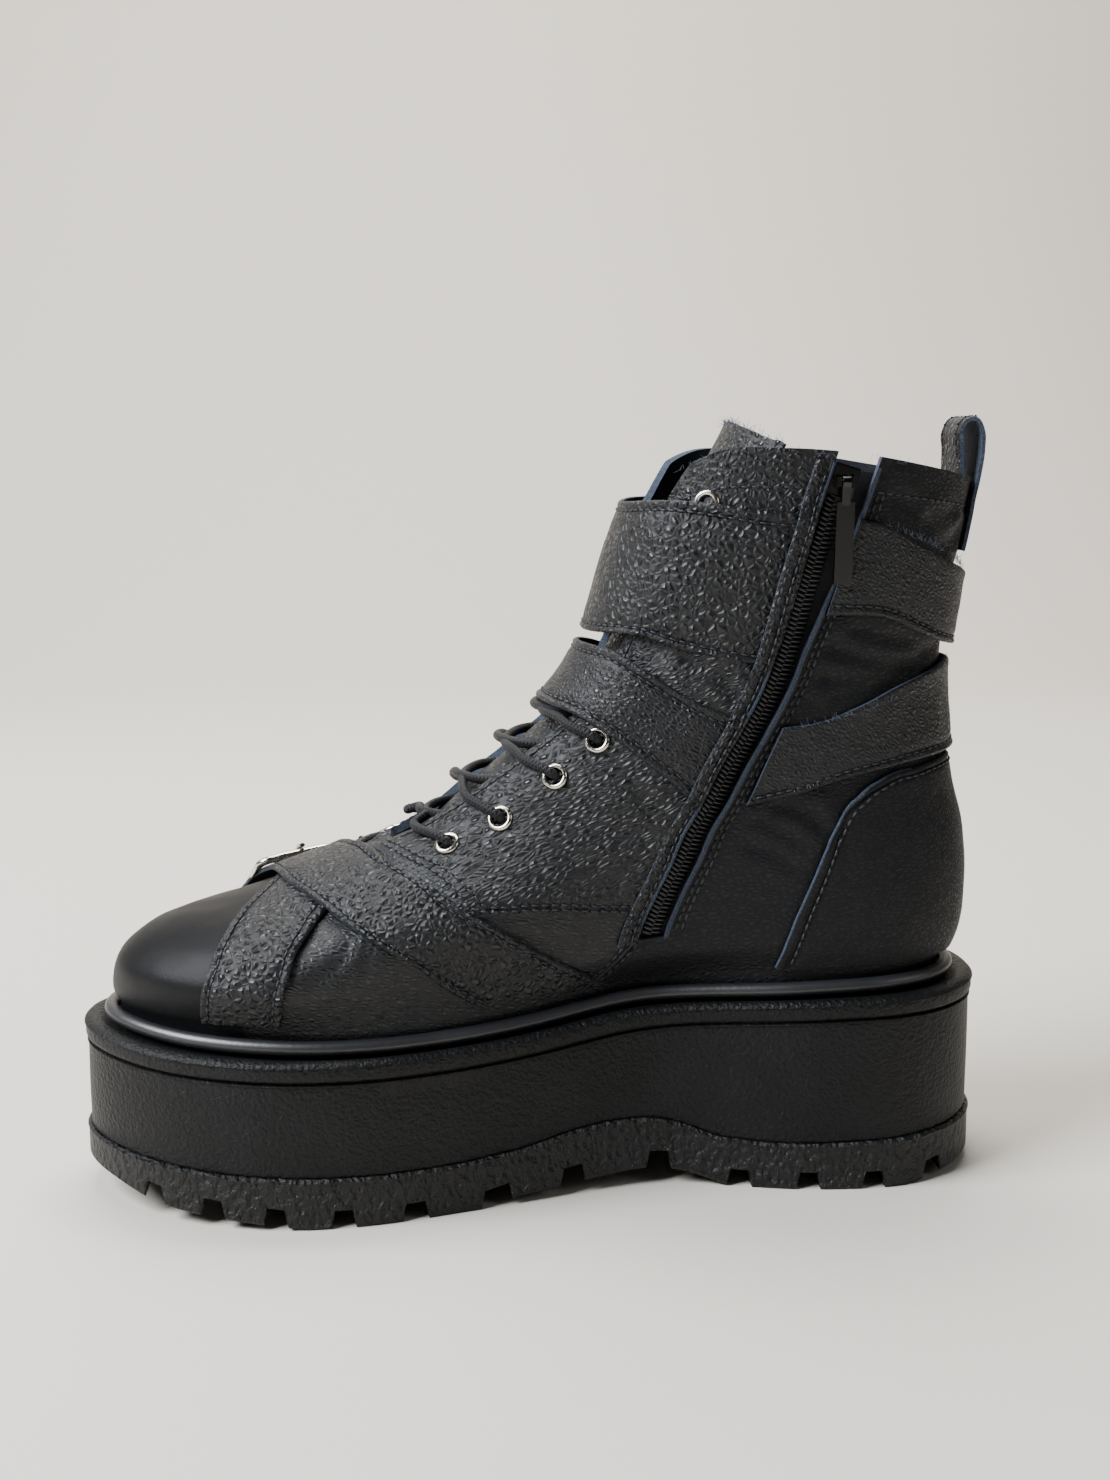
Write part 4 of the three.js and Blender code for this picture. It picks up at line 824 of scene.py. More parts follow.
def smooth_path(points, count):
    """A smooth curve through a few points, as many close ones."""
    points = np.asarray(points, float)
    at = np.concatenate([[0], np.cumsum(np.linalg.norm(np.diff(points, axis=0), axis=1))])
    n = np.linspace(0, at[-1], count)
    return np.stack([curve({"n": at, "c": points[:, k]}, "n", "c", n) for k in range(3)], -1)


# %% [markdown]
# ## Outsole
# The outsole is one moulded piece: a rough side with twelve notches between its lugs, and a barred tread.
# It is lofted in stations from toe to heel. Each station runs from one edge of the sole to the other, so
# the notches can cut in from the sides and stop before the middle. Extra stations stand at each notch,
# which keeps its walls crisp; an even spacing would make them ragged.

# %% Outsole
NOTCH_SLOPE = 0.004
NOTCH_DEEP = 5.6
BAR_DEEP = 3.2
BARS = 14
OUTSOLE_OUT = 1.0
station_s = [(1 - math.cos(math.pi * k / 300)) / 2 for k in range(1, 300)]
for notch_s, notch_wide in NOTCHES:
    station_s = [s for s in station_s if abs(s - notch_s) >= notch_wide / 2 + NOTCH_SLOPE + 0.0005]
    for offset in (-0.004, -0.0034, -0.0006, 0.0, 0.006):
        station_s.append(notch_s - notch_wide / 2 + offset)
        station_s.append(notch_s + notch_wide / 2 - offset)
station_s = np.array(sorted([0.00002, 0.0004, 0.9996, 0.99998, *station_s]))
SIDE_STEPS = np.array([0, 0.06, 0.14, 0.35, 0.6, 0.85, 0.95, 1])
TREAD_ACROSS = np.array([0.985, 0.95, 0.88, 0.8, 0.76, 0.72, 0.68, 0.6, 0.5, 0.36, 0.2, 0.07])


def notch_depth(s):
    """How deep the edge is cut at each station: 1 in a notch, 0 on a lug, with a short slope between."""
    depth = np.zeros_like(s)
    for middle, wide in NOTCHES:
        depth = np.maximum(depth, clamp01((wide / 2 + NOTCH_SLOPE - np.abs(s - middle)) / NOTCH_SLOPE))
    return depth


def tread_z(s, across):
    """The tread's height: notches at the edges, and a shallower bar pattern in the middle."""
    ground = np.maximum(curve(LUG, "s", "z", s), 0)
    edge = notch_depth(s) * NOTCH_DEEP * smooth((np.abs(across) - 0.64) / 0.08)
    gaps = smooth((np.cos(2 * np.pi * (s * BARS + 0.18 * np.abs(across))) - 0.35) / 0.2)
    middle = BAR_DEEP * gaps * smooth((0.6 - np.abs(across)) / 0.06)
    return ground + np.maximum(edge, middle)


def outsole_section(s):
    """One row of stations across the sole, from the top edge on one side round the tread to the other."""
    wave = curve(WAVE, "s", "z", s)
    rows = []
    for side in (-1, 1):
        foot = tread_z(s, np.full_like(s, side))
        up_side = []
        for share in SIDE_STEPS:
            swell = OUTSOLE_OUT + 0.3 * (share == 0.06) - 0.5 * (share in (0, 1))
            x, y = outline(s, side, swell)
            up_side.append(np.stack([x, y, mix(wave, foot, share)], -1))
        tread = []
        for k in TREAD_ACROSS:
            x, y = outline(s, side, OUTSOLE_OUT - 0.5)
            middle = curve(OUTLINE, "s", "mid", s)
            tread.append(np.stack([x, middle + (y - middle) * k, tread_z(s, side * k)], -1))
        rows.append(up_side + tread)
    loop = rows[0] + rows[1][::-1]
    return np.stack(loop, 1)


section = outsole_section(station_s)
count_s, count_k = section.shape[:2]
outsole_faces = []
for i in range(count_s - 1):
    for k in range(count_k):
        n = (k + 1) % count_k
        here, ahead = i * count_k, (i + 1) * count_k
        outsole_faces.append((here + k, here + n, ahead + n, ahead + k))
for first, flip in ((0, True), ((count_s - 1) * count_k, False)):
    for k in range(count_k // 2 - 1):
        across = (first + k, first + k + 1, first + count_k - 2 - k, first + count_k - 1 - k)
        outsole_faces.append(across[::-1] if flip else across)
add_piece(
    "tread", section.reshape(-1, 3), outsole_faces, [TREAD_RUBBER], sharp=30,
    replaced=["outsole"])
print("outsole", made_pieces["tread"], "faces")

# %% [markdown]
# ## Platform, bead and sock
# The platform's wall is a stack of rings. Each ring is the outline moved in or out by a little, at its
# own height: up the wall, over a thin groove, out to the rim band, round the rim's edge and down the
# shelf to the upper. The bead is a round cord of rubber that covers the joint between the shelf and the
# leather.

# %% Platform, bead and sock
TURN = np.linspace(0, 2 * np.pi, 480, endpoint=False)
TURN_S = (1 - np.cos(TURN)) / 2
TURN_SIDE = np.where(TURN < np.pi, -1.0, 1.0)


def sole_ring(out, height):
    """One ring round the sole, moved out and laid at a height."""
    x, y = outline(TURN_S, TURN_SIDE, out)
    return np.stack([x, y, np.broadcast_to(height, x.shape)], -1)


def stack_of_rings(rings):
    """Faces between rings, and flat strips that close the lowest and the highest one."""
    count = len(TURN)
    faces = []
    for j in range(len(rings) - 1):
        for i in range(count):
            n = (i + 1) % count
            faces.append((j * count + i, j * count + n, (j + 1) * count + n, (j + 1) * count + i))
    for base, flip in ((0, True), ((len(rings) - 1) * count, False)):
        for i in range(count // 2):
            quad = [base + i, base + i + 1, base + count - i - 1, base + (count - i) % count]
            quad = list(dict.fromkeys(quad))
            faces.append(tuple(quad[::-1] if flip else quad))
    return np.concatenate(rings), faces


wave_z = curve(WAVE, "s", "z", TURN_S)
groove_z = rim_z(TURN_S) - RIM_BAND
rim = rim_z(TURN_S)
WALL_BULGE = 0.15
# Each ring is moved out by the first number and stands the second one above the wave, groove or rim.
AT_WAVE = [(-0.5, 0.2), (-0.2, 0.25), (0, 0.9)]
AT_GROOVE = [(0.45, -0.75), (0.4, -0.4), (-0.7, -0.1), (-0.8, 0.15), (-0.1, 0.5), (0.5, 1.0), (0.8, 1.9)]
AT_RIM = [
    (0.8, -2.6), (0.75, -2.0), (1.15, -1.7), (1.1, -1.3), (0.3, -0.5), (-0.7, 0), (-2.2, -0.05),
    (-4.0, -0.45), (-4.9, -0.95), (-5.6, -1.3)]
wall_rings = [
    sole_ring(WALL_BULGE * math.sin(math.pi * k / 6), mix(wave_z + 1.2, groove_z - 1.1, k / 6))
    for k in range(7)]
platform_rings = [sole_ring(out, wave_z + up) for out, up in AT_WAVE] + wall_rings
platform_rings += [sole_ring(out, groove_z + up) for out, up in AT_GROOVE]
platform_rings += [sole_ring(out, rim + up) for out, up in AT_RIM]
platform_points, platform_faces = stack_of_rings(platform_rings)
add_piece(
    "platform", platform_points, platform_faces, [WALL_RUBBER], sharp=50,
    replaced=["midsole"])
bead_path = sole_ring(-SHELF, rim + BEAD - 0.5)
bead_points, bead_faces, _ = tube_mesh(bead_path, BEAD, 14, up=(0, 0, 1), closed=True)
add_piece("bead", bead_points, bead_faces, [BEAD_RUBBER_WITH_PAINTED_SHEEN], sharp=80, replaced=["rand"])
SOCK_IN = FEATHER + WALL + 0.8
sock_points, sock_faces = stack_of_rings(
    [sole_ring(-SOCK_IN, rim - 0.6), sole_ring(-SOCK_IN, rim + 1.9), sole_ring(-SOCK_IN - 0.7, rim + 2.4)]
)
add_piece("sock", sock_points, sock_faces, [SOCK], replaced=["insole"])
print("platform", made_pieces["platform"], "bead", made_pieces["bead"])

# %% [markdown]
# ## Upper
# The upper is one hollow sheet of leather and lining, 2 mm thick, open at the collar, the throat, the zip
# and underneath. The grid's columns follow the edges of the throat and of the zip's slot, so those edges
# are clean curves and not steps. Cells under each eyelet are left out, which punches its hole. The toe is
# covered in smooth hide and the rest in pebbled hide, with the grain drawn longer where the leather was
# pulled.

# %% Upper
KNOT_CELLS = [62, 3, 98, 26, 168]
EYELETS = [(0.494, -0.213), (0.546, -0.241), (0.606, -0.268), (0.666, -0.280), (0.957, -0.289)]
ZIP_SLOT = 9
EYELET_HOLE = 2.3
upper_v = np.unique(np.concatenate([
    np.linspace(0, 0.15, 16), np.linspace(0.15, 0.5, 40), np.linspace(0.5, 1, 56)]))
knot_a = np.stack([
    np.full_like(upper_v, -1), zip_side(upper_v, -ZIP_SLOT / 2 - gape(upper_v)),
    zip_side(upper_v, ZIP_SLOT / 2), -throat_a(upper_v), throat_a(upper_v), np.full_like(upper_v, 1)])
upper_a = np.concatenate([
    np.stack([mix(knot_a[k], knot_a[k + 1], n / cells) for n in range(cells)])
    for k, cells in enumerate(KNOT_CELLS)]).T
upper_v2 = np.broadcast_to(upper_v[:, None], upper_a.shape)
corner = np.where(upper_v2 > 0.95, 1 - smooth((np.abs(upper_a) - 0.16) / 0.07), 0)
skin_v = upper_v2 - upper_v2 * 0.035 * corner
upper_relief = relief(upper_a, skin_v)
upper_out = normal(upper_a, skin_v)
upper_outer = surface(upper_a, skin_v) + upper_out * upper_relief[..., None]
upper_inner = surface(upper_a, skin_v) + upper_out * (0.5 * upper_relief - WALL)[..., None]
knot_of = np.repeat(np.arange(5), KNOT_CELLS)
cell_v = upper_v[:-1, None]
present = ~((knot_of[None] == 3) & (cell_v >= 0.4999)) & ~((knot_of[None] == 1) & (cell_v >= 0.1499))
beyond = np.roll(upper_outer, -1, 1)
centre = (upper_outer[:-1] + upper_outer[1:] + beyond[:-1] + beyond[1:]) / 4
for eyelet_v, eyelet_a in EYELETS:
    for side in (1, -1):
        hole = skin(side * eyelet_a, eyelet_v)
        present &= np.linalg.norm(centre - hole, axis=-1) > EYELET_HOLE
upper_faces, upper_part = sheet_faces(*upper_a.shape, closed=True, present=present)
TOE_INNER = table("v a", [
    (0, -0.265), (0.15, -0.25), (0.2, -0.226), (0.28, -0.19), (0.34, -0.14), (0.4, -0.03)])
TOE_OUTER = table("v a", [(0, 0.27), (0.16, 0.243), (0.25, 0.209), (0.31, 0.163), (0.38, 0.08), (0.41, 0)])
face_corner = np.array([f[0] for f in upper_faces]) % upper_a.size
face_a, face_v = upper_a.ravel()[face_corner], skin_v.ravel()[face_corner]
toe_from, toe_to = (curve(rows, "v", "a", face_v) for rows in (TOE_INNER, TOE_OUTER))
on_toe = (face_v < 0.4) & (face_a > toe_from) & (face_a < toe_to)
on_vamp = ~over_line(face_a, face_v, QUARTER_EDGE) & (face_a < 0) & (face_a > -0.55)
on_vamp |= ~over_line(-face_a, face_v, QUARTER_EDGE) & (face_a > 0) & (face_a < 0.55)
between = (face_v > 0.3) & (face_v < 0.82)
on_back = (face_a < -0.54) | (face_a > 0.54)
upper_finish = np.select(
    [upper_part > 0, on_toe, on_vamp, on_back, between], [upper_part, 3, 4, 6, 5], 0)
upper_points = two_layers(upper_outer, upper_inner)
used = np.unique(np.array([i for f in upper_faces for i in f]))
renumber = np.zeros(len(upper_points), int)
renumber[used] = np.arange(len(used))
add_piece(
    "upper_leather", upper_points[used], [tuple(renumber[list(f)]) for f in upper_faces],
    [LEATHER, LINING, RAW_EDGE, SMOOTH_LEATHER, VAMP_LEATHER, QUARTER_LEATHER, BACK_LEATHER],
    upper_finish, sharp=45, replaced=["upper"],
)
print("upper", made_pieces["upper_leather"], "faces")


# %% [markdown]
# ## Patches: counter and straps
# The counter and the seven strap pieces are patches of leather laid on the upper. A patch is drawn by the
# same (a, v) coordinates at a height above the upper, so it bends with the boot by itself. Its face rolls
# down over the last millimetre before the cut, dips along each row of stitches, and swells a little
# between them.


# %% Patch of leather
EDGE_ROLL = 1.1


def edge_shares(width_mm, stitch_in):
    """Where the sections across a strap stand: close at both edges and at the stitches."""
    near = [
        0, 0.25, 0.6, 1.1, stitch_in - 0.7, stitch_in - 0.3, stitch_in, stitch_in + 0.3, stitch_in + 0.8]
    low = np.array(near) / width_mm
    middle = np.linspace(low[-1], 1 - low[-1], 12)[1:-1]
    return np.concatenate([low, middle, 1 - low[::-1]])


def rolled(edge_mm, thick):
    """The height lost near a cut edge, from the distance to it."""
    return 0.45 * thick * clamp01(1 - edge_mm / EDGE_ROLL) ** 2


def patch_piece(
    name, a, v, lift, thick, edge_mm, stitch_mm, finish, seed, replaced=(), wave=0.35,
    edge_finish=RAW_EDGE,
):
    """A leather patch on the upper; edge_mm and stitch_mm are the distances to its edge and stitches."""
    ground = surface(a, v)
    outwards = normal(a, v)
    swell = wave * (lumps(ground, 14, seed) + 0.5 * lumps(ground, 6, seed + 1))
    trough = 0.55 * np.exp(-((stitch_mm / 0.9) ** 2))
    curl = 0.5 * clamp01(1 - edge_mm / 5) ** 2 * (0.5 + lumps(ground, 18, seed + 2))
    low = lift + 0.6 * swell + curl
    high = low + thick + 0.4 * swell - trough - rolled(edge_mm, thick)
    outer = ground + outwards * high[..., None]
    inner = ground + outwards * low[..., None]
    faces, part = sheet_faces(*a.shape)
    points = two_layers(outer, inner)
    return add_piece(
        name, points, faces, [finish, LINING, edge_finish], part, sharp=50, replaced=replaced
    )


def strap_table(rows):
    """Rows of (low a, low v, high a, high v, lift), one for each section along a strap."""
    return table("n low_a low_v high_a high_v lift", [(n, *row) for n, row in enumerate(rows)])


def strap_place(rows, n, share):
    """(a, v) at section n of a strap, by the share of its width from the low edge."""
    a = mix(curve(rows, "n", "low_a", n), curve(rows, "n", "high_a", n), share)
    v = mix(curve(rows, "n", "low_v", n), curve(rows, "n", "high_v", n), share)
    return a, v


STITCH_IN = 2.8
STITCH_SUNK = 0.32
LOWEST_LIFT = 0.5
stitch_lines = []


def note_seam(a, v, up):
    """Notes a row of stitches at a height above the upper's face; all rows are stitched later."""
    stitch_lines.append((above(a, v, up), normal(a, v)))


def strap_piece(name, rows, seed, stitched=(0, 1), finish=STRAP_LEATHER, edge_finish=DARK_EDGE):
    """A strap from its table, with its stitch rows noted for later."""
    rows = strap_table(rows)
    last = rows["n"][-1]
    middle = last / 2
    low_mid, high_mid = (surface(*strap_place(rows, middle, share)) for share in (0.0, 1.0))
    width = float(np.linalg.norm(high_mid - low_mid))
    shares = edge_shares(width, STITCH_IN)
    n = np.linspace(0, last, int(last * 12) + 1)
    grid_n, grid_share = np.meshgrid(n, shares)
    a, v = strap_place(rows, grid_n, grid_share)
    lift = np.maximum(curve(rows, "n", "lift", grid_n), LOWEST_LIFT)
    edge = np.minimum(grid_share, 1 - grid_share) * width
    stitch = np.full_like(edge, 99.0)
    for share in stitched:
        stitch = np.minimum(stitch, np.abs(abs(share - STITCH_IN / width) - grid_share) * width)
        at = STITCH_IN / width if share == 0 else 1 - STITCH_IN / width
        line_n = np.linspace(0.12, last - 0.12, 400)
        path = np.stack(strap_place(rows, line_n, np.full_like(line_n, at)), -1)
        line_up = np.maximum(curve(rows, "n", "lift", line_n), LOWEST_LIFT) + STRAP - STITCH_SUNK
        note_seam(*path.T, line_up)
    return patch_piece(
        name + "_leather", a, v, lift, STRAP, edge, stitch, finish, seed, replaced=[name],
        edge_finish=edge_finish)


# %% Straps
strap_piece("strap_toe", [
    (-0.222, 0.066, -0.299, 0.066, 0.5), (-0.22, 0.1, -0.297, 0.105, 0.5),
    (-0.211, 0.149, -0.29, 0.15, 0.5), (-0.179, 0.209, -0.272, 0.205, 0.5),
    (-0.127, 0.277, -0.252, 0.26, 0.5), (-0.055, 0.338, -0.2, 0.35, 0.5), (0.031, 0.365, -0.09, 0.44, 0.5),
    (0.125, 0.35, 0.06, 0.462, 0.5), (0.205, 0.312, 0.19, 0.432, 0.6), (0.262, 0.268, 0.29, 0.34, 0.6),
    (0.318, 0.212, 0.358, 0.256, 0.6), (0.385, 0.135, 0.432, 0.158, 0.5),
    (0.44, 0.07, 0.497, 0.078, 0.5)], 11)
strap_piece("strap_vamp", [
    (-0.447, 0.07, -0.538, 0.074, 0.5), (-0.422, 0.104, -0.515, 0.11, 0.5),
    (-0.384, 0.161, -0.478, 0.16, 0.5), (-0.331, 0.213, -0.43, 0.225, 0.5),
    (-0.291, 0.249, -0.37, 0.295, 1.2), (-0.224, 0.305, -0.299, 0.369, 2.4),
    (-0.138, 0.345, -0.2, 0.43, 2.4), (-0.031, 0.361, -0.057, 0.468, 2.4),
    (0.068, 0.338, 0.092, 0.424, 2.5), (0.138, 0.285, 0.188, 0.345, 2.5), (0.18, 0.228, 0.238, 0.268, 2.2),
    (0.208, 0.16, 0.278, 0.178, 1.3), (0.222, 0.07, 0.294, 0.074, 1.3)], 21)
strap_piece("strap_instep_front", [
    (-0.492, 0.542, -0.487, 0.688, 0.5), (-0.436, 0.59, -0.415, 0.718, 0.5),
    (-0.349, 0.646, -0.34, 0.752, 0.6), (-0.27, 0.683, -0.26, 0.786, 2.2),
    (-0.16, 0.714, -0.157, 0.817, 3.2), (0, 0.724, 0, 0.826, 3.4), (0.15, 0.712, 0.15, 0.812, 3.2),
    (0.26, 0.685, 0.26, 0.783, 2.8), (0.34, 0.646, 0.34, 0.744, 0.9), (0.41, 0.606, 0.41, 0.704, 2.2),
    (0.475, 0.566, 0.475, 0.662, 2.9), (0.535, 0.55, 0.535, 0.645, 2.9),
    (0.6, 0.555, 0.6, 0.635, 2.9)], 31, finish=FINE_LEATHER)
strap_piece("strap_instep_back", [
    (-0.560, 0.522, -0.552, 0.667, 0.5), (-0.618, 0.534, -0.61, 0.671, 0.5),
    (-0.672, 0.552, -0.664, 0.695, 0.5), (-0.75, 0.562, -0.738, 0.727, 0.9),
    (-0.86, 0.565, -0.86, 0.751, 1.6), (-1.0, 0.565, -1.0, 0.757, 1.9), (-1.14, 0.565, -1.14, 0.751, 1.6),
    (-1.25, 0.56, -1.26, 0.722, 0.9), (-1.33, 0.552, -1.34, 0.685, 0.5), (-1.4, 0.55, -1.4, 0.655, 0.5),
    (-1.5, 0.558, -1.5, 0.648, 0.5)], 41, stitched=(0,),
    finish=FINE_LEATHER, edge_finish=RAW_EDGE)
strap_piece("strap_cuff", [
    (-0.487, 0.776, -0.5, 0.944, 0.5), (-0.39, 0.795, -0.4, 0.948, 0.5), (-0.309, 0.811, -0.31, 0.955, 1.4),
    (-0.224, 0.832, -0.224, 0.966, 3.0), (-0.12, 0.84, -0.12, 0.976, 3.2), (0, 0.842, 0, 0.98, 3.2),
    (0.12, 0.84, 0.12, 0.976, 3.2), (0.224, 0.832, 0.224, 0.966, 2.6), (0.32, 0.818, 0.32, 0.957, 0.6),
    (0.42, 0.8, 0.42, 0.95, 0.5), (0.48, 0.812, 0.48, 0.935, 0.5)], 51, edge_finish=RAW_EDGE)
strap_piece("strap_cuff_tab", [
    (0.25, 0.842, 0.25, 0.925, 4.9), (0.32, 0.834, 0.32, 0.92, 3.0), (0.4, 0.822, 0.4, 0.908, 2.9),
    (0.48, 0.812, 0.48, 0.898, 2.9), (0.535, 0.808, 0.535, 0.893, 2.9), (0.6, 0.806, 0.6, 0.892, 2.9),
    (0.66, 0.806, 0.66, 0.89, 3.0), (0.74, 0.812, 0.74, 0.884, 2.9)], 61)
strap_piece("strap_ankle_back", [
    (-0.556, 0.842, -0.576, 0.943, 0.5), (-0.64, 0.84, -0.64, 0.938, 0.5),
    (-0.697, 0.831, -0.69, 0.928, 0.5), (-0.76, 0.813, -0.75, 0.916, 1.2), (-0.86, 0.79, -0.86, 0.9, 2.4),
    (-1.0, 0.778, -1.0, 0.89, 3.0), (-1.14, 0.785, -1.14, 0.892, 2.4), (-1.24, 0.8, -1.24, 0.894, 0.9),
    (-1.31, 0.806, -1.31, 0.893, 0.5),
    (-1.375, 0.808, -1.375, 0.893, 0.5)], 71, stitched=(0,), finish=FINE_LEATHER, edge_finish=RAW_EDGE)
print("straps", {name: faces for name, faces in made_pieces.items() if name.startswith("strap")})

# %% [markdown]
# The counter goes right round the heel. Its front edges stand upright and its top edge is curved, as a
# table gives them.

# %% Counter
COUNTER_FRONT = 0.682
COUNTER_TOP = table("a v", [
    (0.682, 0.4), (0.688, 0.455), (0.705, 0.505), (0.735, 0.535), (0.8, 0.545), (1, 0.545)])
counter_way = np.concatenate([
    np.linspace(0, 0.06, 14), np.linspace(0.06, 0.94, 120)[1:-1], np.linspace(0.94, 1, 14)])
counter_up = np.concatenate([np.linspace(0, 0.9, 44)[:-1], np.linspace(0.9, 1, 12)])
grid_way, grid_up = np.meshgrid(counter_way, counter_up)
counter_a = mix(-COUNTER_FRONT, COUNTER_FRONT - 2, grid_way)
counter_top = curve(COUNTER_TOP, "a", "v", np.minimum(-counter_a, 2 + counter_a))
counter_v = mix(0.068, counter_top, grid_up)
to_front = np.minimum(grid_way, 1 - grid_way) * 0.636 * 260
to_top = (counter_top - counter_v) * 165
counter_edge = np.minimum(to_front, to_top)
patch_piece(
    "counter_leather", counter_a, counter_v, np.full_like(counter_a, 0.75), 1.1, counter_edge,
    np.abs(counter_edge - STITCH_IN), COUNTER_LEATHER, 81, replaced=["counter"],
    wave=0.2,
)
print("counter", made_pieces["counter_leather"], "faces")

# %% [markdown]
# ## Tongue
# The tongue is a single sheet behind the throat, cut raw at the top. It leans back from the upper as it
# rises, so a table gives how far, in millimetres along X.

# %% Tongue
TONGUE = table("v back a", [
    (0.47, 0, 0.14), (0.6, 0, 0.24), (0.75, 1, 0.27), (0.88, 6, 0.27), (0.97, 14, 0.27), (1.06, 22, 0.25)])
TONGUE_DEPTHS = (2.8, 4.4)
tongue_across, tongue_v = np.meshgrid(np.linspace(-1, 1, 60), np.linspace(0.47, 1.03, 70))
tongue_a = tongue_across * curve(TONGUE, "v", "a", tongue_v)


def tongue_layer(up):
    """One face of the tongue, at a height above the upper's face."""
    points = above(tongue_a, tongue_v, up)
    top = clamp01((tongue_v - 0.86) / 0.17) ** 1.5
    lean = np.maximum(curve(TONGUE, "v", "back", tongue_v), 0)
    points[..., 0] += lean + 3 * top * (1 - np.abs(tongue_across))
    points[..., 2] += top * mix(11.5, -5, np.abs(tongue_across) ** 1.7)
    return points


tongue_plain = tongue_layer(np.zeros_like(tongue_a))
tongue_lumps = 0.4 * lumps(tongue_plain, 16, 91)
ragged = 0.9 * lumps(tongue_plain, 3, 92) * smooth((tongue_v - 1.01) / 0.02)
tongue_outer, tongue_inner = (tongue_layer(tongue_lumps - depth) for depth in TONGUE_DEPTHS)
for layer in (tongue_outer, tongue_inner):
    layer[..., 2] += ragged
tongue_faces, tongue_part = sheet_faces(*tongue_a.shape)
add_piece(
    "tongue_leather", two_layers(tongue_outer, tongue_inner), tongue_faces,
    [LEATHER, LINING, RAW_EDGE], tongue_part, replaced=["tongue"],
)

# %% [markdown]
# ## Raw edges of the inner seams
# Where the quarter overlaps the vamp, and beside the zip, the cut edge of the hide shows as a thin navy
# line. It is a narrow flat tube laid along the step. Painting the line would do from afar, but a real
# edge catches light.


# %% Raw edges
def edge_cord(path, up, radius=0.5, stretch=1.0):
    """A thin cord of raw edge along a line on the upper."""
    run = np.linspace(0, len(path) - 1, 3 * len(path))
    a, v = (np.interp(run, np.arange(len(path)), path[:, k]) for k in (0, 1))
    points = skin(a, v, up)
    points = points + normal(a, v) * (0.12 * lumps(points, 2.5, 5))[..., None]
    return tube_mesh(points, radius, 6, stretch=stretch)


zip_run = np.linspace(0.15, 0.99, 90)
zip_front_edge = np.stack([zip_side(zip_run, 4.7), zip_run], -1)
zip_back_edge = np.stack([zip_side(zip_run, -4.9 - gape(zip_run)), zip_run], -1)
rim_a = np.linspace(COUNTER_FRONT, 0.79, 40)
COUNTER_RIM = np.concatenate([
    np.stack([np.full(40, -0.6815), np.linspace(0.072, 0.395, 40)], -1),
    np.stack([-rim_a, curve(COUNTER_TOP, "a", "v", rim_a)], -1)])
edge_parts = [
    edge_cord(zip_front_edge, 0.55, 0.42, 1.6), edge_cord(zip_back_edge, 0.25, 0.5, 2.6),
    edge_cord(COUNTER_RIM, 1.15, 0.5), edge_cord(mirrored(COUNTER_RIM), 1.15, 0.5),
]
edge_points, edge_faces, edge_uv = joined_tubes(edge_parts)
add_piece("raw_edges", edge_points, edge_faces, [RAW_EDGE], uv=edge_uv, sharp=80)
dark_parts = [
    edge_cord(QUARTER_EDGE, -0.45), edge_cord(mirrored(QUARTER_EDGE), -0.45), edge_cord(BELOW_ZIP, 0.1)]
dark_points, dark_faces, dark_uv = joined_tubes(dark_parts)
add_piece("inked_edges", dark_points, dark_faces, [DARK_EDGE], uv=dark_uv, sharp=80)

# %% [markdown]
# ## Facing of the zip
# A narrow strip of leather is sewn along the zip's front side. It covers the ends of the two straps
# there, so it rises over each of them in turn and sinks between them.

# %% Facing
facing_v = np.linspace(0.142, 0.992, 260)
facing_mm = np.array([4.6, 4.8, 5.2, 5.8, 6.3, 6.8, 7.6, 8.4, 8.9, 9.4, 9.8, 10.2, 10.4])
grid_v, grid_mm = np.meshgrid(facing_v, facing_mm, indexing="ij")
facing_a = zip_side(grid_v, grid_mm)


def over_strap(v, low, high):
    """1 where the facing passes over a strap and 0 elsewhere, with soft ends."""
    return smooth((v - low + 0.012) / 0.02) * smooth((high + 0.012 - v) / 0.02)


FACING_THICK = 1.0
FACING_ROWS = (6.3, 8.9)
on_strap = over_strap(grid_v, 0.545, 0.69) + over_strap(grid_v, 0.775, 0.945)
facing_lift = relief(facing_a, grid_v) * 0.5 + 0.25 + 2.0 * on_strap
facing_edge = np.minimum(grid_mm - 4.6, 10.4 - grid_mm)
patch_piece(
    "zip_facing", facing_a, grid_v, facing_lift, FACING_THICK, facing_edge,
    np.abs(grid_mm - FACING_ROWS[0]), LEATHER, 101, wave=0.25, edge_finish=RAW_EDGE)
for mm in FACING_ROWS:
    row_v = facing_v[3:-3]
    row_lift = np.interp(row_v, facing_v, facing_lift[:, 6]) + FACING_THICK - 0.15
    note_seam(zip_side(row_v, mm), row_v, row_lift)

# %% [markdown]
# ## Pull loop
# The loop is one strip of leather, sewn behind the collar and turned back down inside it. Its side view
# is a short path; the strip is that path with a thickness, swept over its width, and its middle bows
# outwards.

# %% Pull loop
LOOP_WIDE = 20
LOOP_THICK = 1.5
SIDEWAYS = np.array([0, 1, 0])
loop_middle = surface(1, 0.95)[1]
collar_back = surface(1, 1)
loop_edge = 1 - (LOOP_WIDE / 2) / length_of_a(0.97, 0.95)
outer_leg = [(surface(1, v)[0] + GAP + LOOP_THICK, surface(1, v)[2]) for v in (0.915, 0.96, 1)]
loop_bend = [(3.2, 9.0), (3.0, 15.0), (0.2, 19.6), (-3.6, 19.2), (-5.9, 15.0), (-5.6, 9.0)]
inner_leg = [(surface(loop_edge, v)[0] - WALL - 2 * GAP - LOOP_THICK, surface(1, v)[2]) for v in (1, 0.94)]
loop_nodes = [*outer_leg, *[(collar_back[0] + x, collar_back[2] + z) for x, z in loop_bend], *inner_leg]
loop_path = smooth_path([(x, 0, z) for x, z in loop_nodes], 90)
loop_along = unit(np.gradient(loop_path, axis=0))
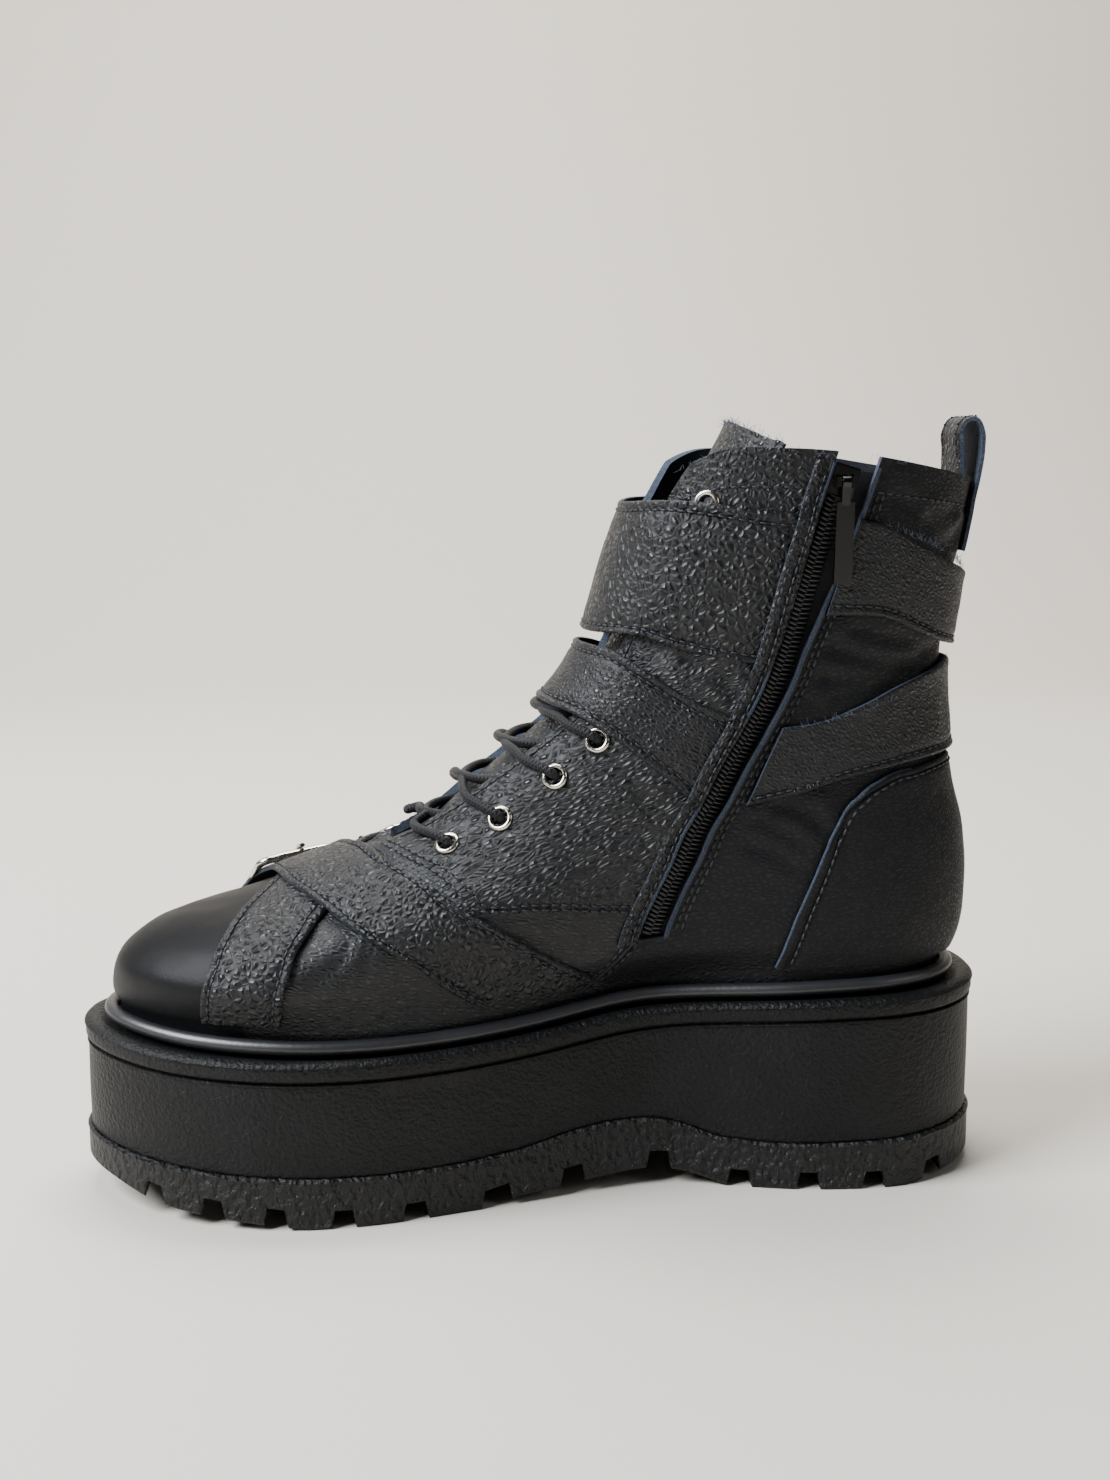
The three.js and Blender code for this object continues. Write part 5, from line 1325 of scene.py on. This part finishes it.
loop_in = np.stack([-loop_along[:, 2], np.zeros(90), loop_along[:, 0]], -1)
loop_share = np.concatenate([[0, 0.02, 0.06], np.linspace(0.1, 0.9, 14), [0.94, 0.98, 1]])
loop_y = loop_middle - LOOP_WIDE / 2 + LOOP_WIDE * loop_share
roll = 0.35 * clamp01(1 - np.minimum(loop_share, 1 - loop_share) * LOOP_WIDE / EDGE_ROLL) ** 2
loop_across = SIDEWAYS * loop_y[None, :, None]
loop_outer = loop_path[:, None] + loop_in[:, None] * roll[None, :, None] + loop_across
loop_inner = loop_path[:, None] + loop_in[:, None] * LOOP_THICK + loop_across
ripple = 0.25 * lumps(loop_outer, 7, 95)[..., None] * loop_in[:, None]
loop_faces, loop_part = sheet_faces(90, len(loop_share))
add_piece(
    "pull_loop_leather", two_layers(loop_outer + ripple, loop_inner + ripple),
    loop_faces, [LEATHER, RAW_EDGE, RAW_EDGE], loop_part, replaced=["pull_loop"],
)
for share in (0.14, 0.86):
    leg = loop_path[:64] + SIDEWAYS * (loop_middle + LOOP_WIDE * (share - 0.5)) - loop_in[:64] * 0.05
    stitch_lines.append((leg, -loop_in[:64]))


# %% [markdown]
# ## Zip
# The zip's tape lies behind the slot. Its closed coil is two rows of nylon loops that mesh, each row with
# a pitch of 1.5 mm. The teeth repeat along the zip, which is work for Geometry Nodes: Python lays one
# point for each tooth, with the directions along and out stored on it, and the node tree puts a rounded
# bar on every point. The same tree later makes the stitches and the fibres, since all three are small
# bars along a line.


# %% Tape
def zip_points(v, mm, up):
    """Points beside the zip's middle line and above the upper's face, in millimetres."""
    return above(zip_side(v, mm), v, up)


TAPE_DEPTHS = (2.6, 3.4)
tape_v, tape_mm = np.meshgrid(np.linspace(0.127, 0.985, 160), np.linspace(-14, 11, 16), indexing="ij")
tape_faces, _ = sheet_faces(*tape_v.shape)
tape_outer, tape_inner = (zip_points(tape_v, tape_mm, -depth) for depth in TAPE_DEPTHS)
add_piece(
    "zip_tape_weave", two_layers(tape_outer, tape_inner), tape_faces,
    [ZIP_TAPE], replaced=["zip_tape"],
)


# %% Geometry Nodes tree for small bars
def bars_tree():
    """Puts a rounded bar on each point, along its stored direction. Inputs: length, thickness, material."""
    tree = bpy.data.node_groups.new("bars_along_lines", "GeometryNodeTree")
    for name, kind in (
        ("Points", "Geometry"), ("Length", "Float"), ("Thickness", "Float"), ("Sides", "Int"),
        ("Material", "Material"),
    ):
        tree.interface.new_socket(name, in_out="INPUT", socket_type="NodeSocket" + kind)
    tree.interface.new_socket("Bars", in_out="OUTPUT", socket_type="NodeSocketGeometry")
    given = add_node(tree, "NodeGroupInput").outputs
    along, out, size = (
        add_node(tree, "GeometryNodeInputNamedAttribute", {"data_type": kind}, {"Name": name})
        for name, kind in (("along", "FLOAT_VECTOR"), ("out", "FLOAT_VECTOR"), ("size", "FLOAT")))
    turn = add_node(
        tree, "FunctionNodeAxesToRotation", {"primary_axis": "Z", "secondary_axis": "X"},
        {0: along.outputs[0], 1: out.outputs[0]},
    )
    long = add_node(
        tree, "ShaderNodeMath", {"operation": "MULTIPLY"}, {0: given["Length"], 1: size.outputs[0]})
    scale = add_node(
        tree, "ShaderNodeCombineXYZ", None,
        {0: given["Thickness"], 1: given["Thickness"], 2: long.outputs[0]})
    bar = add_node(
        tree, "GeometryNodeMeshUVSphere", None, {"Segments": given["Sides"], "Rings": 5, "Radius": 0.5}
    )
    placed = add_node(
        tree, "GeometryNodeInstanceOnPoints", None,
        {"Points": given["Points"], "Instance": bar.outputs[0], "Rotation": turn.outputs[0],
         "Scale": scale.outputs[0]})
    real = add_node(tree, "GeometryNodeRealizeInstances", None, {0: placed.outputs[0]})
    dyed = add_node(
        tree, "GeometryNodeSetMaterial", None, {"Geometry": real.outputs[0], "Material": given["Material"]}
    )
    add_node(tree, "NodeGroupOutput", None, {0: dyed.outputs[0]})
    return tree


BARS_TREE = bars_tree()


def bars(name, points, along, out, length, thickness, finish, slot, sides=6, size=None, replaced=()):
    """Runs the tree on points in millimetres and keeps the result as a plain mesh."""
    mesh = bpy.data.meshes.new(name + "_points")
    mesh.from_pydata((points * MM).tolist(), [], [])
    for key, values in (("along", along), ("out", out)):
        mesh.attributes.new(key, "FLOAT_VECTOR", "POINT").data.foreach_set(
            "vector", np.ascontiguousarray(values, np.float32).ravel())
    sizes = np.ones(len(points)) if size is None else size
    mesh.attributes.new("size", "FLOAT", "POINT").data.foreach_set("value", sizes.astype(np.float32))
    carrier = bpy.data.objects.new(name + "_points", mesh)
    bpy.context.scene.collection.objects.link(carrier)
    modifier = carrier.modifiers.new("bars", "NODES")
    modifier.node_group = BARS_TREE
    values = {"Length": length * MM, "Thickness": thickness * MM, "Sides": sides, "Material": finish}
    for item in BARS_TREE.interface.items_tree:
        if item.in_out == "INPUT" and item.name in values:
            modifier[item.identifier] = values[item.name]
    evaluated = carrier.evaluated_get(bpy.context.evaluated_depsgraph_get())
    result = bpy.data.meshes.new_from_object(evaluated)
    result.name = name
    piece = bpy.data.objects.new(name, result)
    bpy.context.scene.collection.objects.link(piece)
    bpy.data.objects.remove(carrier)
    result.polygons.foreach_set("use_smooth", np.ones(len(result.polygons), bool))
    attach(piece, "boot")
    if replaced:
        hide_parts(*replaced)
    made_pieces[name] = len(result.polygons)
    return piece


# %% Teeth of the zip
TOOTH_PITCH = 1.5
TOOTH_LENGTH = 4.1
TOOTH_THICK = 1.25
TOOTH_SLANT = 0.22
ROW_OFFSET = 1.35


def along_line(points, outs, pitch, start=0.0):
    """Points at an even pitch along a line, with the direction along and outwards at each."""
    run = np.concatenate([[0], np.cumsum(np.linalg.norm(np.diff(points, axis=0), axis=1))])
    at = np.arange(start, run[-1], pitch)
    place = np.stack([np.interp(at, run, points[:, k]) for k in range(3)], -1)
    ahead = np.stack([np.interp(at + 0.5, run, points[:, k]) for k in range(3)], -1)
    behind = np.stack([np.interp(at - 0.5, run, points[:, k]) for k in range(3)], -1)
    out = np.stack([np.interp(at, run, outs[:, k]) for k in range(3)], -1)
    return place, unit(ahead - behind), unit(out)


coil_v = np.linspace(0.16, 0.962, 400)
coil_line = zip_points(coil_v, 0.0, np.full_like(coil_v, -1.3))
coil_out = normal(zip_side(coil_v, 0.0), coil_v)
tooth_place, tooth_dir, tooth_out = [], [], []
for side in (-1, 1):
    place, along, out = along_line(coil_line, coil_out, TOOTH_PITCH, start=0.75 * (side > 0))
    across = np.cross(along, out)
    tooth_place.append(place + across * side * ROW_OFFSET)
    tooth_dir.append(unit(across + along * TOOTH_SLANT * side))
    tooth_out.append(out)
bars(
    "zip_teeth", np.concatenate(tooth_place), np.concatenate(tooth_dir), np.concatenate(tooth_out),
    TOOTH_LENGTH, TOOTH_THICK, ZIP_TEETH, "zip_black", sides=8, replaced=["zip_coil"],
)
print("zip teeth", len(np.concatenate(tooth_place)))

# %% [markdown]
# ## Stitches
# Each seam is a row of short thread bars, 3.2 mm from one to the next, sunk a little into the trough that
# the leather already has. The lines are the strap edges noted above and the upper's own seams. Black bars
# in the gaps between the stitches paint the shade inside the needle holes.

# %% Stitches
STITCH_PITCH = 3.2
STITCH_LENGTH = 2.5
THREAD_THICK = 0.78
NEEDLE_HOLE_SHADE_SIZE = (0.9, 0.85)
SEAM_UP = 0.12
COLLAR_SEAM_V = 0.968


def seam(path):
    """Adds a seam on the upper to the stitched lines."""
    run = np.linspace(0, len(path) - 1, 6 * len(path))
    a, v = (np.interp(run, np.arange(len(path)), path[:, k]) for k in (0, 1))
    stitch_lines.append((skin(a, v, SEAM_UP), normal(a, v)))


for offset in (-2.2, -4.6):
    seam(beside(QUARTER_EDGE, offset))
    seam(mirrored(beside(QUARTER_EDGE, offset)))
seam(beside(BELOW_ZIP, 1.8))
seam(beside(BELOW_ZIP, -1.8))
for offset in (-7.4, -9.4):
    seam(np.stack([zip_side(zip_run[2:-2], offset - gape(zip_run[2:-2])), zip_run[2:-2]], -1))
collar_front = np.linspace(-0.185, -0.465, 40)
seam(np.stack([collar_front, np.full(40, COLLAR_SEAM_V)], -1))
seam(np.stack([-collar_front, np.full(40, COLLAR_SEAM_V)], -1))
collar_rear = np.linspace(-0.60, -1.46, 120)
seam(np.stack([collar_rear, np.full(120, COLLAR_SEAM_V)], -1))
throat_run = np.linspace(0.505, 0.955, 60)
for side in (-1, 1):
    edge_a = throat_a(throat_run) + 3.2 / length_of_a(throat_a(throat_run), throat_run)
    seam(np.stack([side * edge_a, throat_run], -1))
COUNTER_SEAM_IN = 0.0108
COUNTER_SEAM_UP = 1.85
counter_line_way = np.linspace(0, 1, 400)
counter_line_a = mix(-COUNTER_FRONT - COUNTER_SEAM_IN, 0.692 - 2, counter_line_way)
from_front = np.minimum(-counter_line_a, 2 + counter_line_a)
counter_line_v = curve(COUNTER_TOP, "a", "v", from_front - COUNTER_SEAM_IN) - 0.017
note_seam(counter_line_a, counter_line_v, COUNTER_SEAM_UP)
for side in (-1, 1):
    leg_v = np.linspace(0.08, 0.395, 120)
    note_seam(np.full(120, side * (COUNTER_FRONT + COUNTER_SEAM_IN)), leg_v, COUNTER_SEAM_UP)
stitch_parts = [along_line(points, outs, STITCH_PITCH, start=1.0) for points, outs in stitch_lines]
stitch_place, stitch_along, stitch_out = (np.concatenate(part) for part in zip(*stitch_parts))
bars("stitches", stitch_place, stitch_along, stitch_out, STITCH_LENGTH, THREAD_THICK, THREAD, "lace_black")
# Near-black bars in the gaps between the stitches paint the shade inside the needle holes: painted shade.
hole_shade_places = stitch_place + stitch_along * STITCH_PITCH / 2 - stitch_out * 0.08
bars("painted_hole_shade_bars", hole_shade_places, stitch_along, stitch_out, *NEEDLE_HOLE_SHADE_SIZE, HOLE_SHADE, "lace_black")
print("stitches", len(stitch_place))

# %% [markdown]
# ## Eyelets
# An eyelet is a tube of nickel-plated brass whose edge is rolled over the leather. Its section is a half
# round turned about the hole's axis, with a barrel that lines the hole. Ten of them are lathed as one
# mesh.

# %% Eyelets
EYELET_PROFILE = [
    (2.35, -2.2), (4.15, 0.0), (4.2, 0.25), (3.95, 0.75), (3.5, 1.08), (3.0, 1.05), (2.6, 0.8),
    (2.35, 0.3)]
EYELET_SIDES = 40


def eyelet_mesh(a, v):
    """One eyelet, its profile turned about the hole's axis."""
    out = normal(a, v)
    across = unit(np.cross([0, 0, 1], out))
    third = np.cross(across, out)
    base = skin(a, v, 0.05)
    angle = 2 * np.pi * np.arange(EYELET_SIDES) / EYELET_SIDES
    points = [
        base + across * r * math.cos(t) + third * r * math.sin(t) + out * h
        for t in angle for r, h in EYELET_PROFILE]
    count = len(EYELET_PROFILE)
    faces = []
    for i in range(EYELET_SIDES):
        j = (i + 1) % EYELET_SIDES
        for k in range(count):
            n = (k + 1) % count
            faces.append((i * count + k, i * count + n, j * count + n, j * count + k))
    return np.array(points), faces, [[(0, 0)] * 4] * len(faces)


eyelet_parts = [eyelet_mesh(side * a, v) for v, a in EYELETS for side in (1, -1)]
eyelet_points, eyelet_faces, _ = joined_tubes(eyelet_parts)
eyelet_nodes = [f"eyelet_{side}_{n}" for side in ("inner", "outer") for n in range(1, 6)]
add_piece("eyelets", eyelet_points, eyelet_faces, [NICKEL], sharp=60, replaced=eyelet_nodes)

# %% [markdown]
# ## Lace
# Each end of the lace comes up through an eyelet, runs over its own quarter and dives under the other
# one. The arms are tubes along a smooth path of a few stations, given as (a, v) and a height.

# %% Lace
LACE_RADIUS = 1.5


def lace_arm(v, a, side, high):
    """One arm of the lace: up through its eyelet, over the throat and down behind the other quarter."""
    edge = float(throat_a(v + 0.03))
    far = float(throat_a(v + 0.06))
    stations = [
        (abs(a), v, -3.2), (abs(a), v, -0.6),
        (abs(a) - 0.004, v + 0.003, 1.9), (abs(a) - 0.025, v + 0.010, 3.1),
        (abs(a) - 0.055, v + 0.018, 3.0), (mix(abs(a) - 0.05, edge, 0.6), v + 0.026, 2.8 + high),
        (edge, v + 0.034, 2.5 + high), (0.045, v + 0.05, 1.3 + high), (-0.02, v + 0.056, 0.6 + high),
        (-far + 0.045, v + 0.062, -0.3), (-far - 0.02, v + 0.070, -3.6)]
    nodes = [above(side * sa, sv, up) for sa, sv, up in stations]
    return tube_mesh(smooth_path(nodes, 90), LACE_RADIUS, 14, stretch=1.05)


for n, (eyelet_v, eyelet_a) in enumerate(EYELETS[:4]):
    lace_points, lace_faces, lace_uv = joined_tubes(
        [lace_arm(eyelet_v, eyelet_a, -1, 0.0), lace_arm(eyelet_v - 0.004, eyelet_a, 1, 1.4)])
    add_piece(
        f"lace_{n + 1}", lace_points, lace_faces, [LACE], uv=lace_uv, sharp=80,
        replaced=[f"lace_crossing_{n + 1}"],
    )

# %% [markdown]
# ## Buckles
# A buckle is a frame of round wire with tight corners, a roller on its front bar and a prong that starts
# on the heel bar, under the strap, and lies over the roller. A short leather fold holds the heel bar
# down, so the frame shows on both sides of it, as on the real boot.

# %% Buckles
# The heel bar's a, v and height above the upper, then the front bar's.
BUCKLES = {
    "toe": (0.368, 0.217, 3.6, 0.248, 0.340, 3.8), "vamp": (0.255, 0.195, 5.2, 0.150, 0.340, 4.9),
    "instep": (0.482, 0.612, 7.2, 0.338, 0.694, 5.8), "ankle": (0.6, 0.849, 6.5, 0.455, 0.858, 6.5)}
BUCKLE_WIDE = 29.5
BUCKLE_CORNER = 4
WIRE = 1.3
ROLLER = 1.62
FOLD_HALF = 10.5
FOLD_THICK = 1.4
# The fold seen from the side: along the strap from the heel bar, and up.
FOLD_SIDE = [(-11, -1.6), (-7, -0.4), (-3, 1.6), (0.5, 2.5), (3.3, 1.2), (3.4, -1.2), (1.0, -2.6)]

for name, (heel_a, heel_v, heel_up, front_a, front_v, front_up) in BUCKLES.items():
    heel_bar, front_bar = above(heel_a, heel_v, heel_up), above(front_a, front_v, front_up)
    long = float(np.linalg.norm(front_bar - heel_bar))
    along = unit(front_bar - heel_bar)
    across = unit(np.cross(normal((heel_a + front_a) / 2, (heel_v + front_v) / 2), along))
    out = np.cross(along, across)

    def at(x, y, z=0.0):
        return heel_bar + along * x + across * y + out * z

    side = BUCKLE_WIDE / 2 - BUCKLE_CORNER
    corners = [
        (long - BUCKLE_CORNER, side), (BUCKLE_CORNER, side),
        (BUCKLE_CORNER, -side), (long - BUCKLE_CORNER, -side)]
    def on_corner(quarter, turn):
        """A point on the rounded corner, by its number and an angle in quarter turns."""
        x, y = corners[quarter % 4]
        angle = turn * math.pi / 2
        return at(x + BUCKLE_CORNER * math.cos(angle), y + BUCKLE_CORNER * math.sin(angle))

    wire = []
    for quarter in range(4):
        wire += [on_corner(quarter, quarter + share) for share in np.linspace(0, 1, 9)]
        start, end = on_corner(quarter, quarter + 1), on_corner(quarter + 1, quarter + 1)
        wire += [mix(start, end, share) for share in (0.25, 0.5, 0.75)]
    roller = [at(long, y) for y in np.linspace(-side + 0.6, side - 0.6, 8)]
    parts = [
        tube_mesh(wire, WIRE, 16, up=out, closed=True),
        tube_mesh(roller, [WIRE, *[ROLLER] * 6, WIRE], 16, up=out),
    ]
    points, faces, _ = joined_tubes(parts)
    add_piece(
        f"buckle_{name}_frame", points, faces, [NICKEL], sharp=60,
        replaced=[f"buckle_{name}"])
    prong_side = [
        (0.0, 1.5), (long * 0.3, 1.2), (long * 0.7, 1.5), (long - 4, 2.2), (long, 2.5), (long + 2.4, 1.9)]
    prong = smooth_path([at(x, 0, z) for x, z in prong_side], 40)
    prong_radius = np.interp(np.arange(40), [0, 30, 39], [1.1, 1.0, 0.7])
    points, faces, _ = tube_mesh(prong, prong_radius, 12, up=out, stretch=1.3)
    add_piece(
        f"prong_{name}_pin", points, faces, [NICKEL], sharp=60, replaced=[f"prong_{name}"])
    fold = smooth_path([at(x, 0, z) for x, z in FOLD_SIDE], 40)
    fold_along = unit(np.gradient(fold, axis=0))
    fold_in = np.cross(across, fold_along)
    shares = np.concatenate([[-1, -0.97, -0.9], np.linspace(-0.8, 0.8, 11), [0.9, 0.97, 1]])
    wide = FOLD_HALF * np.minimum(1, 0.82 + 0.02 * np.arange(40))[:, None]
    spread = across[None, None] * (shares[None] * wide)[..., None]
    curb = 0.3 * clamp01(1 - (1 - np.abs(shares)) * FOLD_HALF / EDGE_ROLL) ** 2
    sign = np.sign(np.einsum("ij,j->i", fold_in[10:15], out).mean())
    top = fold[:, None] + spread + fold_in[:, None] * sign * (FOLD_THICK / 2 - curb)[None, :, None]
    bottom = fold[:, None] + spread - fold_in[:, None] * sign * FOLD_THICK / 2
    faces, part = sheet_faces(40, len(shares))
    add_piece(
        f"buckle_fold_{name}", two_layers(top, bottom), faces,
        [STRAP_LEATHER, LINING, RAW_EDGE], part,
    )
print("buckles", sorted(name for name in made_pieces if name.startswith("buckle")))

# %% [markdown]
# ## Zip slider and tab
# These two are rigid and the CAD has their true shape, so they stay as they are and only get their
# finish.

# %% Finish of the slider and the tab
for name in ("zip_slider", "zip_pull"):
    cad_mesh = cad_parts[name].data
    cad_mesh.materials.clear()
    cad_mesh.materials.append(BLACK_METAL)
    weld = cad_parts[name].modifiers.new("weld", "WELD")
    weld.merge_threshold = 0.02 * MM
    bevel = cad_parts[name].modifiers.new("bevel", "BEVEL")
    bevel.width = 0.35 * MM
    bevel.segments = 3
    bevel.limit_method = "ANGLE"
    bevel.angle_limit = math.radians(35)
    bevel.harden_normals = True

# %% [markdown]
# ## Fibres at the raw edges
# Cut hide sheds short fibres, most at the tongue, the collar and the straps behind the zip. They are thin
# bars of 1 to 4 mm that lean at random, with a fixed seed.

# %% Fibres
FIBRE_LENGTH = 2.4
FIBRE_THICK = 0.12
draw = np.random.default_rng(7)


def fibre_line(path_points, path_outs, per_mm):
    """Random places along a line for some fibres a millimetre, and the way they stand out."""
    run = float(np.linalg.norm(np.diff(path_points, axis=0), axis=1).sum())
    count = int(run * per_mm)
    at = np.sort(draw.uniform(0, len(path_points) - 1, count))
    index = np.arange(len(path_points))
    place = np.stack([np.interp(at, index, path_points[:, k]) for k in range(3)], -1)
    out = np.stack([np.interp(at, index, path_outs[:, k]) for k in range(3)], -1)
    return place, out


tongue_top = tongue_outer[-1]
collar_a = np.concatenate([np.linspace(-0.18, -0.50, 40), np.linspace(-0.57, -1.0, 40)])
fibre_sources = [
    (tongue_top, np.tile([0.0, 0.0, 1.0], (len(tongue_top), 1)), 2.4),
    (skin(collar_a, np.full(80, 0.997)), np.tile([0.0, 0.0, 1.0], (80, 1)), 0.5),
]
STRAP_TOPS = [(0.665, 0.755, -0.575, -0.95, 2.6), (0.943, 0.893, -0.6, -0.95, 2.8)]
for low_v, high_v, from_a, to_a, up in STRAP_TOPS:
    line_a = np.linspace(from_a, to_a, 60)
    line_v = np.linspace(low_v, high_v, 60)
    fibre_sources.append((above(line_a, line_v, np.full(60, up)), np.tile([0.0, -0.3, 1.0], (60, 1)), 1.6))
fibre_place, fibre_lean = [], []
for points, outs, per_mm in fibre_sources:
    place, out = fibre_line(points, outs, per_mm)
    fibre_place.append(place)
    fibre_lean.append(unit(out + draw.normal(0, 0.75, out.shape)))
fibre_place, fibre_lean = np.concatenate(fibre_place), np.concatenate(fibre_lean)
fibre_size = draw.uniform(0.4, 1.6, len(fibre_place))
bars(
    "edge_fibres", fibre_place + fibre_lean * 0.7 * fibre_size[:, None], fibre_lean,
    np.roll(fibre_lean, 1, 1), FIBRE_LENGTH, FIBRE_THICK, FUZZ, "leather", sides=4, size=fibre_size,
)
print("fibres", len(fibre_place))

# %% [markdown]
# ## Floor
# The floor and the wall behind are one sheet, bent up in a wide curve far behind the boot.

# %% Floor
floor_finish, floor_tree, floor_shader = new_finish("matt_pale_paper", Roughness=0.85)
paper = add_node(
    floor_tree, "ShaderNodeTexNoise", None,
    {"Vector": scaled_place(floor_tree), "Scale": 900, "Detail": 3.0})
floor_tree.links.new(
    mixed_colour(floor_tree, paper.outputs[0], linear("#d2ccc2"), linear("#d9d3ca")),
    floor_shader.inputs["Base Color"])
bumped(floor_tree, floor_shader, paper.outputs[0], 0.02 * MM)
profile = [(-4.0, 0.0), (1.2, 0.0)]
profile += [(1.2 + 0.8 * math.sin(t), 0.8 - 0.8 * math.cos(t)) for t in np.linspace(0.1, math.pi / 2, 14)]
profile.append((2.0, 4.0))
floor_mesh = bpy.data.meshes.new("floor")
floor_mesh.from_pydata(
    [(x, y, z) for y, z in profile for x in (-12.0, 12.0)], [],
    [(2 * i, 2 * i + 1, 2 * i + 3, 2 * i + 2) for i in range(len(profile) - 1)],
)
floor_mesh.polygons.foreach_set("use_smooth", np.ones(len(profile) - 1, bool))
floor_mesh.materials.append(floor_finish)
floor = bpy.data.objects.new("floor", floor_mesh)
bpy.context.scene.collection.objects.link(floor)

# %% [markdown]
# ## Sizes and the end
# The faces of all the made pieces are counted. The dressed boot has to stay inside the CAD box, with
# a little room for soft pieces.

# %% Sizes
print("faces in all", sum(made_pieces.values()))
